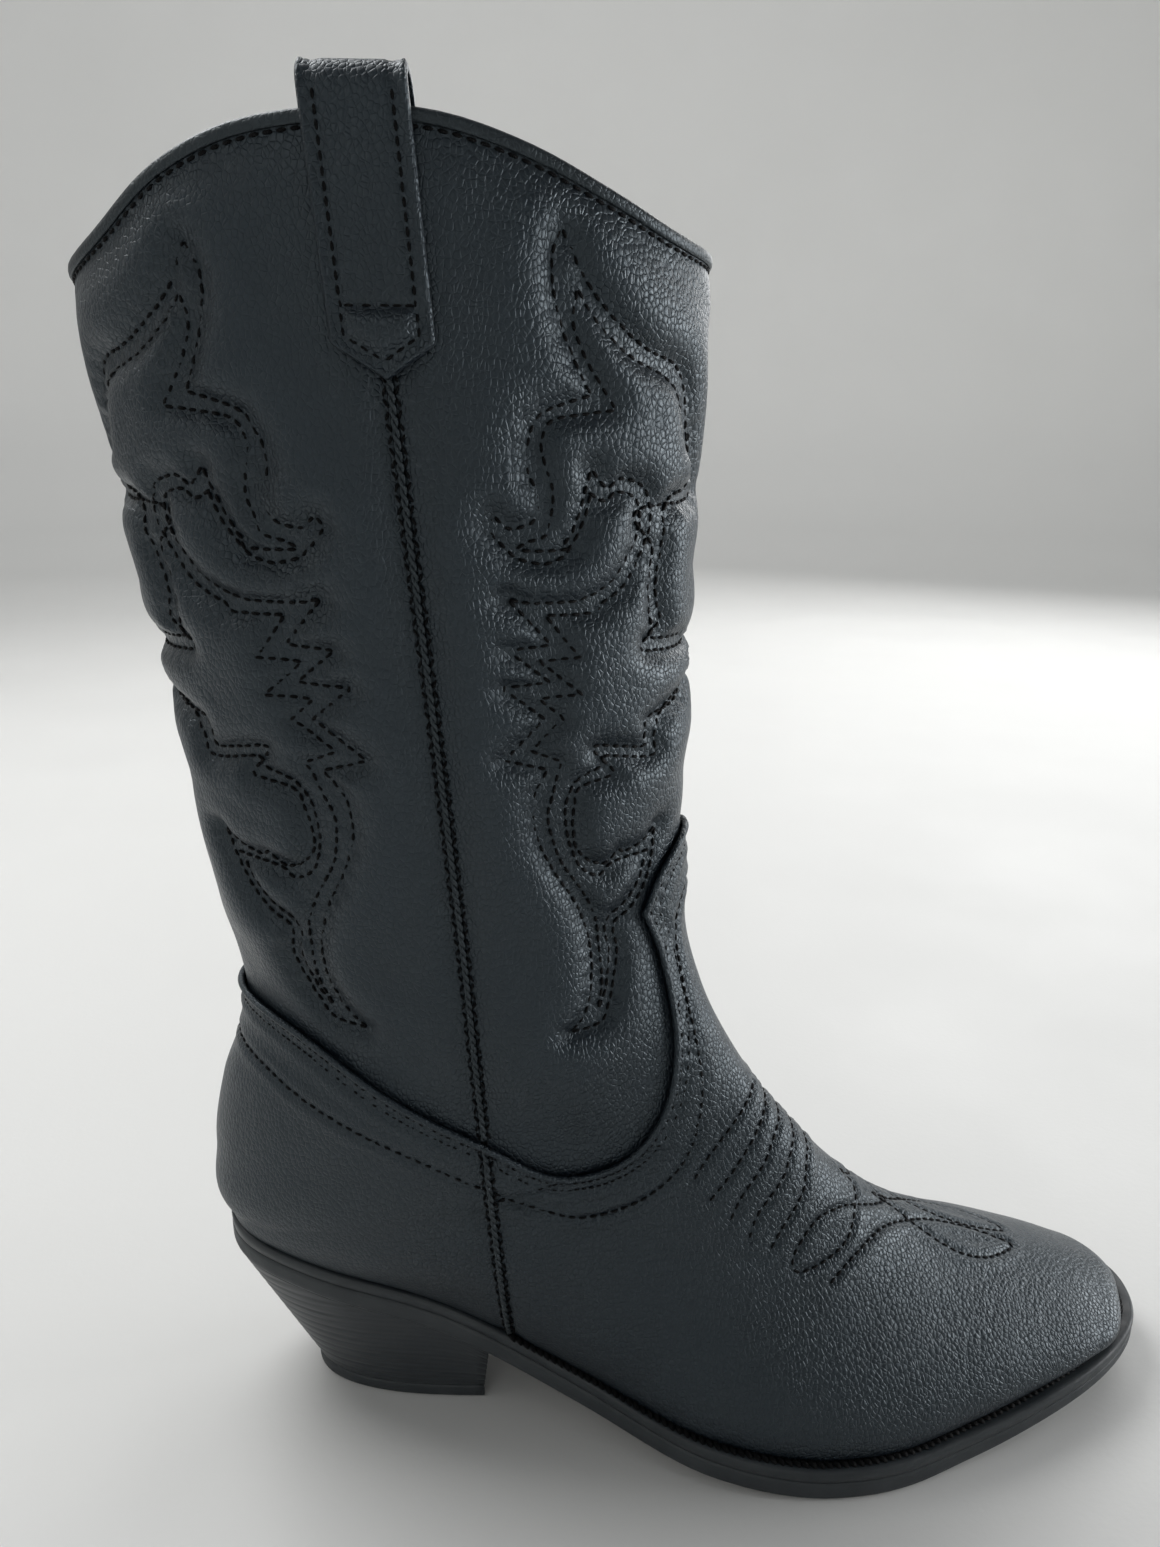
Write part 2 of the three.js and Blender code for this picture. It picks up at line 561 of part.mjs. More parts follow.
function insetSlab(inset, from, to, bottom, top) {
  return slab(soleStations(from, to), (x) => edgeAt(x, inset, -1), (x) => edgeAt(x, inset, 1), bottom, top);
}

const outsoleTop = (x) => soleTop(x) - WELT_HEIGHT - GAP;
const boardBottom = (x) => soleTop(x) - BOARD_HEIGHT;

function fastener(x, y, radius, head, tip) {
  // an upright pin whose head is sunk in the sloping insole board, and the bore that takes it
  const headTop = soleTop(x + head) - GAP;
  const headBottom = headTop - HEAD_HEIGHT;
  const solid = pin(x, y, radius, tip, headTop - HEAD_HEIGHT / 2).add(pin(x, y, head, headBottom, headTop));
  const stemBore = pin(x, y, radius + GAP, tip - 1, headTop);
  return { solid, bore: stemBore.add(pin(x, y, head + GAP, headBottom - GAP, headTop + PIN_CLEAR)) };
}

const screw = fastener(HEEL_SCREW.x, HEEL_SCREW.y, HEEL_SCREW.radius, HEEL_SCREW.head,
  boardBottom(HEEL_SCREW.x) - HEEL_SCREW.length);
const nails = HEEL_NAIL.places.map(([x, y]) => (
  fastener(x, y, HEEL_NAIL.radius, HEEL_NAIL.head, boardBottom(x) - HEEL_NAIL.length)));
const rivets = RIVET.places.map(([x, y]) => fastener(x, y, RIVET.radius, RIVET.head, outsoleTop(x + RIVET.head) + GAP));

function drilled(solid, fasteners) {
  return fasteners.reduce((left, { bore }) => left.subtract(bore), solid);
}

function outsole() {
  const body = insetSlab(0, 0, SOLE_LENGTH, soleBottom, outsoleTop);
  return nodeOf('outsole', drilled(body, [screw, ...nails, ...rivets]), finish.rubber);
}

function weltStrip() {
  const ring = insetSlab(0, 0, SOLE_LENGTH, (x) => outsoleTop(x) + GAP, soleTop);
  const hole = insetSlab(WELT_WIDTH, WELT_WIDTH, SOLE_LENGTH - WELT_WIDTH - TIP_MARGIN, () => -FAR, () => FAR);
  return nodeOf('welt_strip', ring.subtract(hole), finish.rubber);
}

function insoleParts() {
  const inside = WELT_WIDTH + GAP;
  const from = inside + GAP;
  const to = SOLE_LENGTH - inside - TIP_MARGIN - GAP;
  const board = insetSlab(inside + GAP, from, to, boardBottom, soleTop);
  const fillerFrom = SHANK.front + 4;
  const fillerBottom = (x) => outsoleTop(x) + GAP;
  const fillerTop = (x) => boardBottom(x) - GAP;
  const filler = insetSlab(inside + 2, fillerFrom, to - 4, fillerBottom, fillerTop);
  return [
    nodeOf('insole_board', drilled(board, [screw, ...nails, ...rivets]), finish.board),
    nodeOf('bottom_filler', filler, finish.cork),
  ];
}

function shankMiddle(x) {
  return lerp(RIVET.places[0][1], RIVET.places[1][1], smoothstep(x, RIVET.places[0][0], RIVET.places[1][0]));
}

function shankParts() {
  const bottom = (x) => outsoleTop(x) + GAP;
  const top = (x) => bottom(x) + SHANK.thickness;
  const edge = (side) => (x) => shankMiddle(x) + side * SHANK.half;
  const strip = slab(soleStations(SHANK.back, SHANK.front), edge(-1), edge(1), bottom, top);
  const nodes = rivets.map(({ solid }, i) => nodeOf(`shank_rivet_${i + 1}`, solid, finish.steel));
  return [nodeOf('shank', drilled(strip, rivets), finish.steel), ...nodes];
}

const padShare = (x) => smoothstep(x, PAD_BACK - 8, PAD_BACK) * (1 - smoothstep(x, PAD_FRONT, PAD_FRONT + PAD_RAMP));
const sockBottom = (x) => soleTop(x) + 2 * GAP + (PAD_HEIGHT + GAP) * padShare(x);

function footbed() {
  const inset = (x) => featherInset(x) + INSIDE_INSET;
  const sockEdge = (x, side) => edgeAt(x, inset(x), side);
  const from = INSIDE_INSET + 4;
  const to = SOLE_LENGTH - INSIDE_INSET - 9;
  const xs = soleStations(from, to);
  const sock = slab(xs, (x) => sockEdge(x, -1), (x) => sockEdge(x, 1), sockBottom, (x) => sockBottom(x) + SOCK_HEIGHT);
  const padInset = WELT_WIDTH + 2;
  const padBottom = (x) => soleTop(x) + GAP;
  const pad = insetSlab(padInset, PAD_BACK + 2, PAD_FRONT, padBottom, (x) => padBottom(x) + PAD_HEIGHT);
  return [nodeOf('sock_liner', sock, finish.sock), nodeOf('heel_pad', pad, finish.foam)];
}

// ---------------------------------------------------------------- heel
function heelOutline(backX, frontX, halfAt, middleAt, height) {
  // round the back from the inner corner of the breast to the outer one, then across the breast
  const ring = [];
  const steps = 9;
  const place = (x, side) => new THREE.Vector3(x, middleAt(x) + side * halfAt(x), height(x));
  const xAt = (i) => lerp(frontX, backX, Math.sin(Math.PI / 2 * i / steps));
  for (let i = 0; i <= steps; i += 1) ring.push(place(xAt(i), 1));
  for (let i = steps - 1; i >= 0; i -= 1) ring.push(place(xAt(i), -1));
  for (const share of [0.25, 0.5, 0.75]) {
    const bow = BREAST_HOLLOW * Math.sin(Math.PI * share);
    const y = middleAt(frontX) + lerp(-halfAt(frontX), halfAt(frontX), share);
    ring.push(new THREE.Vector3(frontX - bow, y, height(frontX - bow)));
  }
  return ring;
}

function baseHalf(x) {
  const fromFront = (HEEL_BASE_FRONT - x) / (HEEL_BASE_FRONT - HEEL_BASE_BACK);
  const squareness = 2.6;
  return HEEL_BASE_HALF * (1 - Math.min(1, Math.max(0, fromFront)) ** squareness) ** (1 / squareness);
}

function heelParts() {
  const seatInset = 0.8;
  const seatHalf = (x) => Math.max(0, soleHalf(x) - seatInset);
  const seat = heelOutline(seatInset + 0.4, BREAST_X, seatHalf, soleMiddle, (x) => soleBottom(x) - GAP);
  const baseMiddle = () => 0;
  const foot = (z) => heelOutline(HEEL_BASE_BACK, HEEL_BASE_FRONT, baseHalf, baseMiddle, () => z);
  const between = (share) => foot(LIFT_HEIGHT + GAP).map((p, i) => p.clone().lerp(seat[i], share));
  const block = loft([foot(LIFT_HEIGHT + GAP), between(0.3), between(0.65), seat]);
  return [
    nodeOf('heel_block', drilled(block, [screw, ...nails]), finish.heel),
    nodeOf('heel_top_lift', loft([foot(0), foot(LIFT_HEIGHT)]), finish.rubber),
    nodeOf('heel_screw', screw.solid, finish.steel),
    ...nails.map(({ solid }, i) => nodeOf(`heel_nail_${i + 1}`, solid, finish.steel)),
  ];
}

// ---------------------------------------------------------------- the boot
const boot = new THREE.Group();
boot.add(...shaftPanels(), ...quiltingFoam(), ...footLeathers(), ...linings(), ...stiffeners());
boot.add(...sideWelts(), topBinding());
boot.add(nodeOf('pull_strap_lateral', pullStrap(-1), finish.leather));
boot.add(nodeOf('pull_strap_medial', pullStrap(1), finish.leather));
boot.add(outsole(), weltStrip(), ...insoleParts(), ...shankParts(), ...footbed(), ...heelParts());

const bounds = new THREE.Box3().setFromObject(boot);
const middle = bounds.getCenter(new THREE.Vector3());
boot.position.set(-middle.x, -middle.y, -bounds.min.z);

const westernBoot = new THREE.Group();
westernBoot.add(boot);
export default westernBoot;
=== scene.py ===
"""Looks of a pull-on western boot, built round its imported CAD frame.

Shapes are worked out in millimetres in the boot's own axes: x forward from the rearmost point of the
sole, y to the inner side, z up. The upper is one surface of sections, numbered s from the top of the
shaft (0) to the toe (17); v runs from the back or the welt (0) to the front ridge (1) on each side.
"""

import math

import bpy
import numpy as np
from mathutils import Matrix, Vector
from mathutils.kdtree import KDTree


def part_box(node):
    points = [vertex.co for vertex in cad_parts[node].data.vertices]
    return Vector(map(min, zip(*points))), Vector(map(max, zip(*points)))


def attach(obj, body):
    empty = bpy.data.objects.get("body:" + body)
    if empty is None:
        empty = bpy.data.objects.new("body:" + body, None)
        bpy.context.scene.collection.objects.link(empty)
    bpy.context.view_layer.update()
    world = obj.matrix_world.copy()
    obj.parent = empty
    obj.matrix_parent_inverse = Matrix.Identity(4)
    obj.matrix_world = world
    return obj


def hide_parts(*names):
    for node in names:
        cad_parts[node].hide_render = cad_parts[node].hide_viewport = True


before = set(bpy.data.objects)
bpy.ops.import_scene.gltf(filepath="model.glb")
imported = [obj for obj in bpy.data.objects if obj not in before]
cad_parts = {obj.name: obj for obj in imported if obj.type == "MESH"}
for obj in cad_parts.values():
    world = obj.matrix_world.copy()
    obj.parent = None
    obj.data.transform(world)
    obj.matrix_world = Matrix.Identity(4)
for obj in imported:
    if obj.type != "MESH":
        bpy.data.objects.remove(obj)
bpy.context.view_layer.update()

# ---------------------------------------------------------------- dimensions shared with the frame
MM = 0.001
outsole_low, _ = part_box("outsole")
lift_low, lift_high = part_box("heel_top_lift")
SHIFT = np.array([outsole_low[0], (lift_low[1] + lift_high[1]) / 2, 0.0])

FRONT_X = [138, 135.5, 133.5, 133.5, 136, 136, 140, 146, 156, 166, 182, 199, 217, 236, 254, 269, 277.5, 281]
FRONT_Z = [360, 310, 260, 210, 165, 148, 133, 120, 103.5, 90.5, 72.5, 58, 48.5, 41, 35, 29, 24.3, 18.5]
BACK_X = [-22.5, -16, -9, -1.3, 5, 8.5, 1.3, -2.6, 1, 45, 95, 140, 180, 213, 238, 256, 270, 279.5]
BACK_Z = [360, 310, 260, 210, 165, 124, 100, 78]
HALF_WIDTH = [47, 46, 43.5, 39.5, 37, 36, 35, 34, 34, 35, 38, 42, 45.5, 43, 36, 29, 20.5, 0.5]
LEAN_BACK = [0, 0, 0, 0, 0, 0, 0.05, 0.1, 0.15, 0.2, 0.25] + [0.3] * 7
FULLNESS = [1] * 8 + [0.95, 0.9, 0.95, 1, 1.08, 1.1, 1.1, 1.08, 1, 1]
FIRST_FOOT = 8
LAST = 17

SOLE_LENGTH = 285
SOLE_X = [0, 20, 70, 110, 150, 185, 215, 250, 285]
SOLE_BOTTOM = [46.4, 43.2, 27.6, 10.6, 2.4, -0.4, 1, 6, 9.5]
EDGE_X = [0, 70, 150, 200, 285]
EDGE_HEIGHT = [9.2, 10, 9.5, 9.3, 7]
FEATHER_X = [0, 70, 120, 200, 285]
FEATHER_INSET = [1, 1, 2.6, 3.7, 5.3]
OUTLINE_TURN = [0, 0.12, 0.22, 0.33, 0.42, 0.5, 0.6, 0.68, 0.77, 0.87, 0.94, 1]
OUTLINE_HALF = [0, 19.3, 27.2, 29, 32.7, 41.5, 48, 44.2, 34.9, 21.4, 11.4, 0]
OUTLINE_MIDDLE = [0, 0.1, -0.8, -1, -5.7, -13.5, -10, -3.2, 0.1, 2.6, 4.6, 6]
WELT_HEIGHT = 3.4
GAP = 0.3

SEAM_TOP_X, SEAM_TOP_Z, SEAM_LEAN = 61, 320, 0.088
SEAM_HALF = 1.4
FOOT_EDGE = [(-30, 133), (11, 131), (31, 125.5), (58, 110.5), (79, 99.6), (99.7, 88.3), (117.2, 91),
             (127.8, 102), (131.8, 121), (127.4, 145.9), (122.6, 158), (127.9, 169.2), (137, 178.5),
             (165, 196)]
RIM = [(-40, 314), (-16, 315.5), (-2, 320.5), (15, 331.3), (33, 338), (58, 340.7), (75, 340.2),
       (94, 335.3), (112, 328), (130, 321.3), (170, 318)]
LAP_WIDTH = 9
LAP_DEPTH = 1.7
WALL_DEPTH = 5
STRAP_HALF, STRAP_THICK = 11, 2
STRAP_TIP, STRAP_SHOULDER, STRAP_TOP, STRAP_INSIDE = 290, 297, 350.3, 318
STRAP_BAR = 304.5                  # height of the stitch row across the strap, over its full pointed end
STRAP_ROW = 3.2                    # the stitch row lies this far in from the strap's edge
STRAP_LEAN, STRAP_STAND_OFF, STRAP_BOW = 0.085, 2.2, 1
RIM_PEAK = 340.7                   # height of the rim under the straps
HEEL_BACK, HEEL_FRONT, HEEL_HALF, BREAST_X, BREAST_HOLLOW, LIFT_HEIGHT = 24.2, 78, 23.3, 80, 3, 4


# ---------------------------------------------------------------- curves
def smooth_curve(keys, values, at):
    """Cubic through the points, its slope at each point averaged from both sides."""
    keys, values = np.asarray(keys, float), np.asarray(values, float)
    at = np.asarray(at, float)
    step = np.diff(keys)
    rise = np.diff(values) / step
    slope = np.empty_like(values)
    slope[0], slope[-1] = rise[0], rise[-1]
    slope[1:-1] = (rise[:-1] * step[1:] + rise[1:] * step[:-1]) / (step[:-1] + step[1:])
    i = np.clip(np.searchsorted(keys, at) - 1, 0, len(keys) - 2)
    t = (at - keys[i]) / step[i]
    t2, t3 = t * t, t * t * t
    return ((2 * t3 - 3 * t2 + 1) * values[i] + (t3 - 2 * t2 + t) * step[i] * slope[i]
            + (3 * t2 - 2 * t3) * values[i + 1] + (t3 - t2) * step[i] * slope[i + 1])


def at_station(values, s):
    return smooth_curve(np.arange(len(values)), values, s)


def smoothstep(x, low, high):
    t = np.clip((np.asarray(x, float) - low) / (high - low), 0, 1)
    return t * t * (3 - 2 * t)


def lerp(a, b, t):
    return a + (b - a) * t


def unit(vectors):
    return vectors / np.maximum(np.linalg.norm(vectors, axis=-1, keepdims=True), 1e-12)


def lengths(points):
    """Length along a polyline at each of its points."""
    return np.concatenate([[0], np.cumsum(np.linalg.norm(np.diff(points, axis=0), axis=1))])


def sample(points, along, at):
    """Points of a polyline at the given lengths."""
    return np.stack([np.interp(at, along, points[:, k]) for k in range(points.shape[1])], axis=1)


def resample(points, pitch):
    """Points at an even pitch along a polyline, ends kept."""
    points = np.asarray(points, float)
    along = lengths(points)
    count = max(2, int(round(along[-1] / pitch)) + 1)
    return sample(points, along, np.linspace(0, along[-1], count))


def rounded(points, steps=8):
    """Centripetal Catmull-Rom curve through the points."""
    p = np.asarray(points, float)
    p = np.vstack([2 * p[0] - p[1], p, 2 * p[-1] - p[-2]])
    made = []
    for k in range(1, len(p) - 2):
        gaps = [max(np.linalg.norm(p[k + j] - p[k + j - 1]) ** 0.5, 1e-4) for j in range(3)]
        d0, d1, d2 = gaps
        m1 = ((p[k] - p[k - 1]) / d0 - (p[k + 1] - p[k - 1]) / (d0 + d1) + (p[k + 1] - p[k]) / d1) * d1
        m2 = ((p[k + 1] - p[k]) / d1 - (p[k + 2] - p[k]) / (d1 + d2) + (p[k + 2] - p[k + 1]) / d2) * d1
        for t in np.linspace(0, 1, steps, endpoint=False):
            t2, t3 = t * t, t * t * t
            made.append((2 * t3 - 3 * t2 + 1) * p[k] + (t3 - 2 * t2 + t) * m1
                        + (3 * t2 - 2 * t3) * p[k + 1] + (t3 - t2) * m2)
    made.append(p[-2])
    return np.array(made)


def side_distance(x, z, line):
    """Distance in the side view from a line that runs forward; positive above it."""
    best = np.full(x.shape, 1e9)
    sign = np.ones(x.shape)
    for (ax, az), (bx, bz) in zip(line[:-1], line[1:]):
        dx, dz = bx - ax, bz - az
        t = np.clip(((x - ax) * dx + (z - az) * dz) / (dx * dx + dz * dz), 0, 1)
        far = np.hypot(x - ax - t * dx, z - az - t * dz)
        near = far < best - 1e-9
        best = np.where(near, far, best)
        sign = np.where(near, np.sign(dx * (z - az) - dz * (x - ax)), sign)
    return best * np.where(sign == 0, 1, sign)


FOOT_LINE = np.vstack([rounded(FOOT_EDGE[:11], 5)[:-1], rounded(FOOT_EDGE[10:], 5)])
RIM_LINE = rounded(RIM, 4)


# ---------------------------------------------------------------- sole and upper surfaces
def x_at_turn(turn):
    return SOLE_LENGTH * (1 - np.cos(np.pi * turn)) / 2


def turn_at_x(x):
    return np.arccos(np.clip(1 - 2 * np.asarray(x, float) / SOLE_LENGTH, -1, 1)) / np.pi


def sole_bottom(x):
    return np.maximum(0, smooth_curve(SOLE_X, SOLE_BOTTOM, np.clip(x, 0, SOLE_LENGTH)))


def sole_top(x):
    return sole_bottom(x) + smooth_curve(EDGE_X, EDGE_HEIGHT, np.clip(x, 0, SOLE_LENGTH))


def sole_half(x):
    return np.maximum(0, smooth_curve(OUTLINE_TURN, OUTLINE_HALF, turn_at_x(x)))


def sole_middle(x):
    return smooth_curve(OUTLINE_TURN, OUTLINE_MIDDLE, turn_at_x(x))


WIDTH_HALVINGS = 26                # of the search for the angle at which a section meets the welt
NORMAL_STEP = 0.004                # of s and v, to either side of a point, for its normal
MIDDLE_SHARE = 0.9                 # how much of the sole's sideways bend the front ridge follows


def oval(angle, fullness, lean):
    """Half-width of a section at an angle from its back, before it is scaled to its full width."""
    return np.maximum(np.sin(angle), 0) ** fullness * (1 + lean * np.cos(angle))


def upper_point(s, v, side):
    """Point of the boot's outer surface."""
    s, v = np.broadcast_arrays(np.asarray(s, float), np.asarray(v, float))
    front_x, front_z = at_station(FRONT_X, s), at_station(FRONT_Z, s)
    back_x = at_station(BACK_X, s)
    heights = BACK_Z + [float(sole_top(BACK_X[FIRST_FOOT])) + GAP]
    foot = s >= FIRST_FOOT
    back_z = np.where(foot, sole_top(back_x) + GAP, at_station(heights, np.minimum(s, FIRST_FOOT)))
    fullness, lean = at_station(FULLNESS, s), at_station(LEAN_BACK, s)
    half = np.maximum(0.5, at_station(HALF_WIDTH, s))
    inset = smooth_curve(FEATHER_X, FEATHER_INSET, back_x)
    open_half = np.where(foot, np.maximum(0, sole_half(back_x) - inset), 0)
    flat = np.abs(lean) < 1e-6
    bend = np.where(flat, 1, lean)
    root = np.sqrt(fullness ** 2 + 4 * bend ** 2 * (fullness + 1))
    cosine = (root - fullness) / (2 * bend * (fullness + 1))
    widest = np.arccos(np.where(flat, 0, cosine))
    full = oval(widest, fullness, lean)
    low, high = np.zeros_like(s), widest.copy()
    share = np.minimum(open_half / half, 0.999)
    for _ in range(WIDTH_HALVINGS):
        middle = (low + high) / 2
        below = oval(middle, fullness, lean) < share * full
        low, high = np.where(below, middle, low), np.where(below, high, middle)
    start = np.where(open_half > 0, (low + high) / 2, 0)
    angle = lerp(start, np.pi, v)
    q = (np.cos(start) - np.cos(angle)) / (np.cos(start) + 1)
    middle_back = np.where(foot, sole_middle(back_x), 0)
    middle_front = MIDDLE_SHARE * sole_middle(front_x) * smoothstep(s, 4, 7)
    y = lerp(middle_back, middle_front, q) + side * half / full * oval(angle, fullness, lean)
    return np.stack([lerp(back_x, front_x, q), y, lerp(back_z, front_z, q)], axis=-1)


def upper_frame(s, v, side):
    """Point and outward normal of the upper's surface."""
    s, v = np.broadcast_arrays(np.asarray(s, float), np.asarray(v, float))
    step = NORMAL_STEP
    point = upper_point(s, v, side)
    below = upper_point(np.minimum(s + step, LAST), v, side)
    down = below - upper_point(np.maximum(s - step, 0), v, side)
    across = upper_point(s, np.minimum(v + step, 1), side) - upper_point(s, np.maximum(v - step, 0), side)
    return point, unit(np.cross(down, across)) * -side


def seam_x(z):
    return SEAM_TOP_X + (SEAM_TOP_Z - z) * SEAM_LEAN


# side view of the surface as a chart, to find the place of a drawn point
CHART_STEPS = 20                   # rows of the chart from one section to the next
chart_s = np.linspace(0, LAST, LAST * CHART_STEPS + 1)
chart_v = np.linspace(0, 1, 161)
chart = upper_point(chart_s[:, None], chart_v[None, :], -1)
chart_tree = KDTree(chart.shape[0] * chart.shape[1])
for index, (px, _, pz) in enumerate(chart.reshape(-1, 3)):
    chart_tree.insert((px, 0, pz), index)
chart_tree.balance()


def place_in_side_view(line):
    """Section and share (s, v) of each point of a line drawn in the side view."""
    found = []
    ds, dv = 0.01, 0.005
    for x, z in line:
        _, index, _ = chart_tree.find((x, 0, z))
        i, j = divmod(index, len(chart_v))
        s, v = chart_s[i], chart_v[j]
        for _ in range(4):
            p = upper_point([s, min(s + ds, LAST), s], [v, v, min(v + dv, 1)], -1)[:, [0, 2]]
            columns = np.stack([(p[1] - p[0]) / ds, (p[2] - p[0]) / dv], axis=1)
            move = np.linalg.lstsq(columns, np.array([x, z]) - p[0], rcond=0.05)[0]
            s = float(np.clip(s + np.clip(move[0], -0.1, 0.1), 0, LAST - 0.01))
            v = float(np.clip(v + np.clip(move[1], -0.02, 0.02), 0, 0.994))
        found.append((s, v))
    return np.array(found)


SHAFT_ROWS = 190                   # rows of the chart that cross the side seam's full length
seam_share = np.array([np.interp(0, row[:, 0] - seam_x(row[:, 2]), chart_v) for row in chart[:SHAFT_ROWS]])


def place_on_panel(line, front):
    """(s, v) of points given as a share of the way from the side seam to the centre line, and a height."""
    found = []
    rows = np.arange(SHAFT_ROWS)
    for share, z in line:
        v = lerp(seam_share, 1 if front else 0, share)
        columns = np.minimum(v / chart_v[1], len(chart_v) - 1.001)
        j = columns.astype(int)
        heights = lerp(chart[rows, j, 2], chart[rows, j + 1, 2], columns - j)
        s = np.interp(-z, -heights, chart_s[:SHAFT_ROWS])
        found.append((s, np.interp(s, chart_s[:SHAFT_ROWS], v)))
    return np.array(found)


# ---------------------------------------------------------------- stitch rows
SPIKE_OUT = [(.35, 318), (.33, 312), (.34, 304), (.36, 299), (.40, 291), (.42, 288)]
SPIKE_IN = [(.35, 318), (.41, 309), (.49, 303), (.60, 298), (.70, 296), (.77, 291), (.82, 281)]
QUILT_OUTER = [
    ("round", SPIKE_OUT),
    ("round", SPIKE_IN),
    ("round", [(.42, 288), (.35, 286), (.30, 284), (.27, 279), (.26, 273), (.28, 267), (.28, 263),
               (.26, 260), (.22, 259), (.18, 262)]),
    ("round", [(.18, 262), (.17, 259), (.20, 255), (.24, 252), (.29, 251), (.33, 252), (.37, 256), (.40, 261),
               (.42, 267)]),
    ("round", [(.42, 272), (.47, 268), (.51, 270), (.57, 269), (.62, 264), (.62, 258), (.58, 252), (.52, 245),
               (.44, 241), (.38, 239), (.33, 239), (.29, 239)]),
    ("straight", [(.20, 243), (.30, 232), (.19, 231), (.29, 223), (.17, 222), (.27, 214), (.16, 204),
                  (.27, 201)]),
    ("round", [(.27, 201), (.23, 195), (.22, 188), (.23, 182), (.27, 173), (.32, 165), (.35, 158), (.37, 150),
               (.36, 142), (.32, 134), (.27, 130)]),
    ("round", [(.27, 130), (.35, 131), (.41, 136), (.44, 141), (.47, 149), (.46, 157), (.52, 160), (.58, 165),
               (.63, 172), (.67, 181)]),
    ("round", [(.63, 175), (.48, 174), (.41, 171), (.36, 173), (.32, 180), (.31, 187), (.32, 193), (.36, 198),
               (.44, 201), (.42, 206), (.59, 204), (.61, 207), (.65, 212), (.76, 213), (.90, 217),
               (1.0, 222)]),
    ("round", [(.82, 281), (.78, 264), (.70, 264), (.64, 253), (.62, 243), (.65, 234), (.72, 228), (.85, 228),
               (1.0, 231)]),
]
QUILT_INNER = [
    ("round", [(.385, 308), (.375, 303), (.41, 295), (.455, 289), (.48, 285)]),
    ("round", [(.385, 308), (.44, 302), (.54, 296), (.66, 292.5), (.73, 287), (.78, 279)]),
    ("round", [(.48, 285), (.41, 284), (.34, 283), (.30, 279), (.30, 274), (.32, 267), (.31, 261), (.29, 257),
               (.25, 256)]),
    ("round", [(.25, 256), (.27, 254), (.31, 254), (.35, 256), (.38, 261), (.40, 266), (.42, 272)]),
    ("round", [(.41, 267), (.46, 265), (.50, 267), (.55, 266), (.58, 262), (.57, 257), (.52, 251), (.47, 246),
               (.40, 243), (.33, 242), (.28, 242), (.20, 243)]),
    ("straight", [(.29, 239), (.37, 229), (.27, 228), (.37, 220), (.26, 219), (.32, 214), (.23, 206),
                  (.31, 203)]),
    ("round", [(.31, 203), (.28, 195), (.26, 189), (.27, 182), (.29, 176), (.35, 167), (.39, 159), (.40, 151),
               (.40, 142), (.37, 135)]),
    ("round", [(.37, 135), (.41, 140), (.435, 149), (.43, 158), (.50, 162), (.56, 167), (.60, 173)]),
    ("round", [(.67, 181), (.57, 177), (.51, 176), (.49, 177), (.43, 174), (.39, 175), (.34, 179), (.33, 184),
               (.34, 191), (.37, 196), (.47, 198), (.45, 203), (.62, 201), (.66, 207), (.72, 213),
               (.85, 216)]),
    ("round", [(.86, 281), (.82, 267), (.74, 266), (.68, 253), (.66, 243), (.69, 236), (.74, 231),
               (.86, 231)]),
]
SPIKE_RISE = 3.5                   # the spikes of the front panel reach this much higher
SPIKE_HEIGHTS = (298, 318)         # from a spike's foot to its tip
INSTEP = [
    [(8.01, .97), (8.14, .88), (8.35, .79), (8.65, .69), (8.86, .63)],
    [(8.39, 1), (8.56, .89), (8.82, .78), (9.08, .67), (9.20, .61)],
    [(8.82, 1), (8.95, .87), (9.16, .77), (9.33, .67), (9.50, .60)],
    [(9.16, 1), (9.29, .87), (9.46, .77), (9.59, .66), (9.76, .59)],
    [(9.46, 1), (9.54, .89), (9.76, .77), (9.88, .66), (9.97, .60)],
]
TOE_LEAF = [
    [(10.14, 1), (10.40, .96), (10.48, .85), (10.57, .73), (10.48, .64), (10.35, .59), (10.23, .60),
     (10.14, .65), (10.10, .73), (10.27, .82), (10.82, .93), (11.10, 1)],
    [(10.69, .59), (10.74, .67), (10.95, .81), (11.50, .92), (12.19, .98), (12.82, .98), (13.34, .92),
     (12.91, .82), (12.44, .80), (12.06, .83), (11.50, .91), (11.16, .97), (10.78, 1)],
]
FOOT_LOW_ROW = [(6, 116.2), (18.9, 113.1), (33.2, 106.6), (47.1, 100.5), (63.6, 93.4), (78.4, 86), (94.1, 79),
                (105.2, 75.5), (114, 76.5), (123, 79.5), (131.6, 85.4), (136.4, 92), (138.7, 99.4),
                (139.7, 107.6), (138.2, 120), (133.9, 138.8), (132.4, 152), (136.2, 162.4)]


ROW_PITCH = 0.6                    # between the points of a row
ROW_SAMPLES = 400


def surface_row(places, side):
    """Evenly spaced points and normals along a row given as (s, v)."""
    fine = resample(upper_point(places[:, 0], places[:, 1], side), ROW_PITCH)
    dense = sample(places, np.linspace(0, 1, len(places)), np.linspace(0, 1, ROW_SAMPLES))
    cloud, normals = upper_frame(dense[:, 0], dense[:, 1], side)
    along = lengths(cloud)
    at = np.linspace(0, along[-1], len(fine))
    return sample(cloud, along, at), unit(sample(normals, along, at))


def panel_rows(rows, front):
    """The quilting rows of the front or the back panel, on both sides."""
    made = []
    for kind, line in rows:
        line = rounded(line, 6) if kind == "round" else resample(line, 0.5)
        if front:
            line[:, 1] += SPIKE_RISE * smoothstep(line[:, 1], *SPIKE_HEIGHTS)
        line[:, 0] = np.minimum(line[:, 0], 1)
        places = place_on_panel(line, front)
        made += [surface_row(places, side) for side in (-1, 1)]
    return made


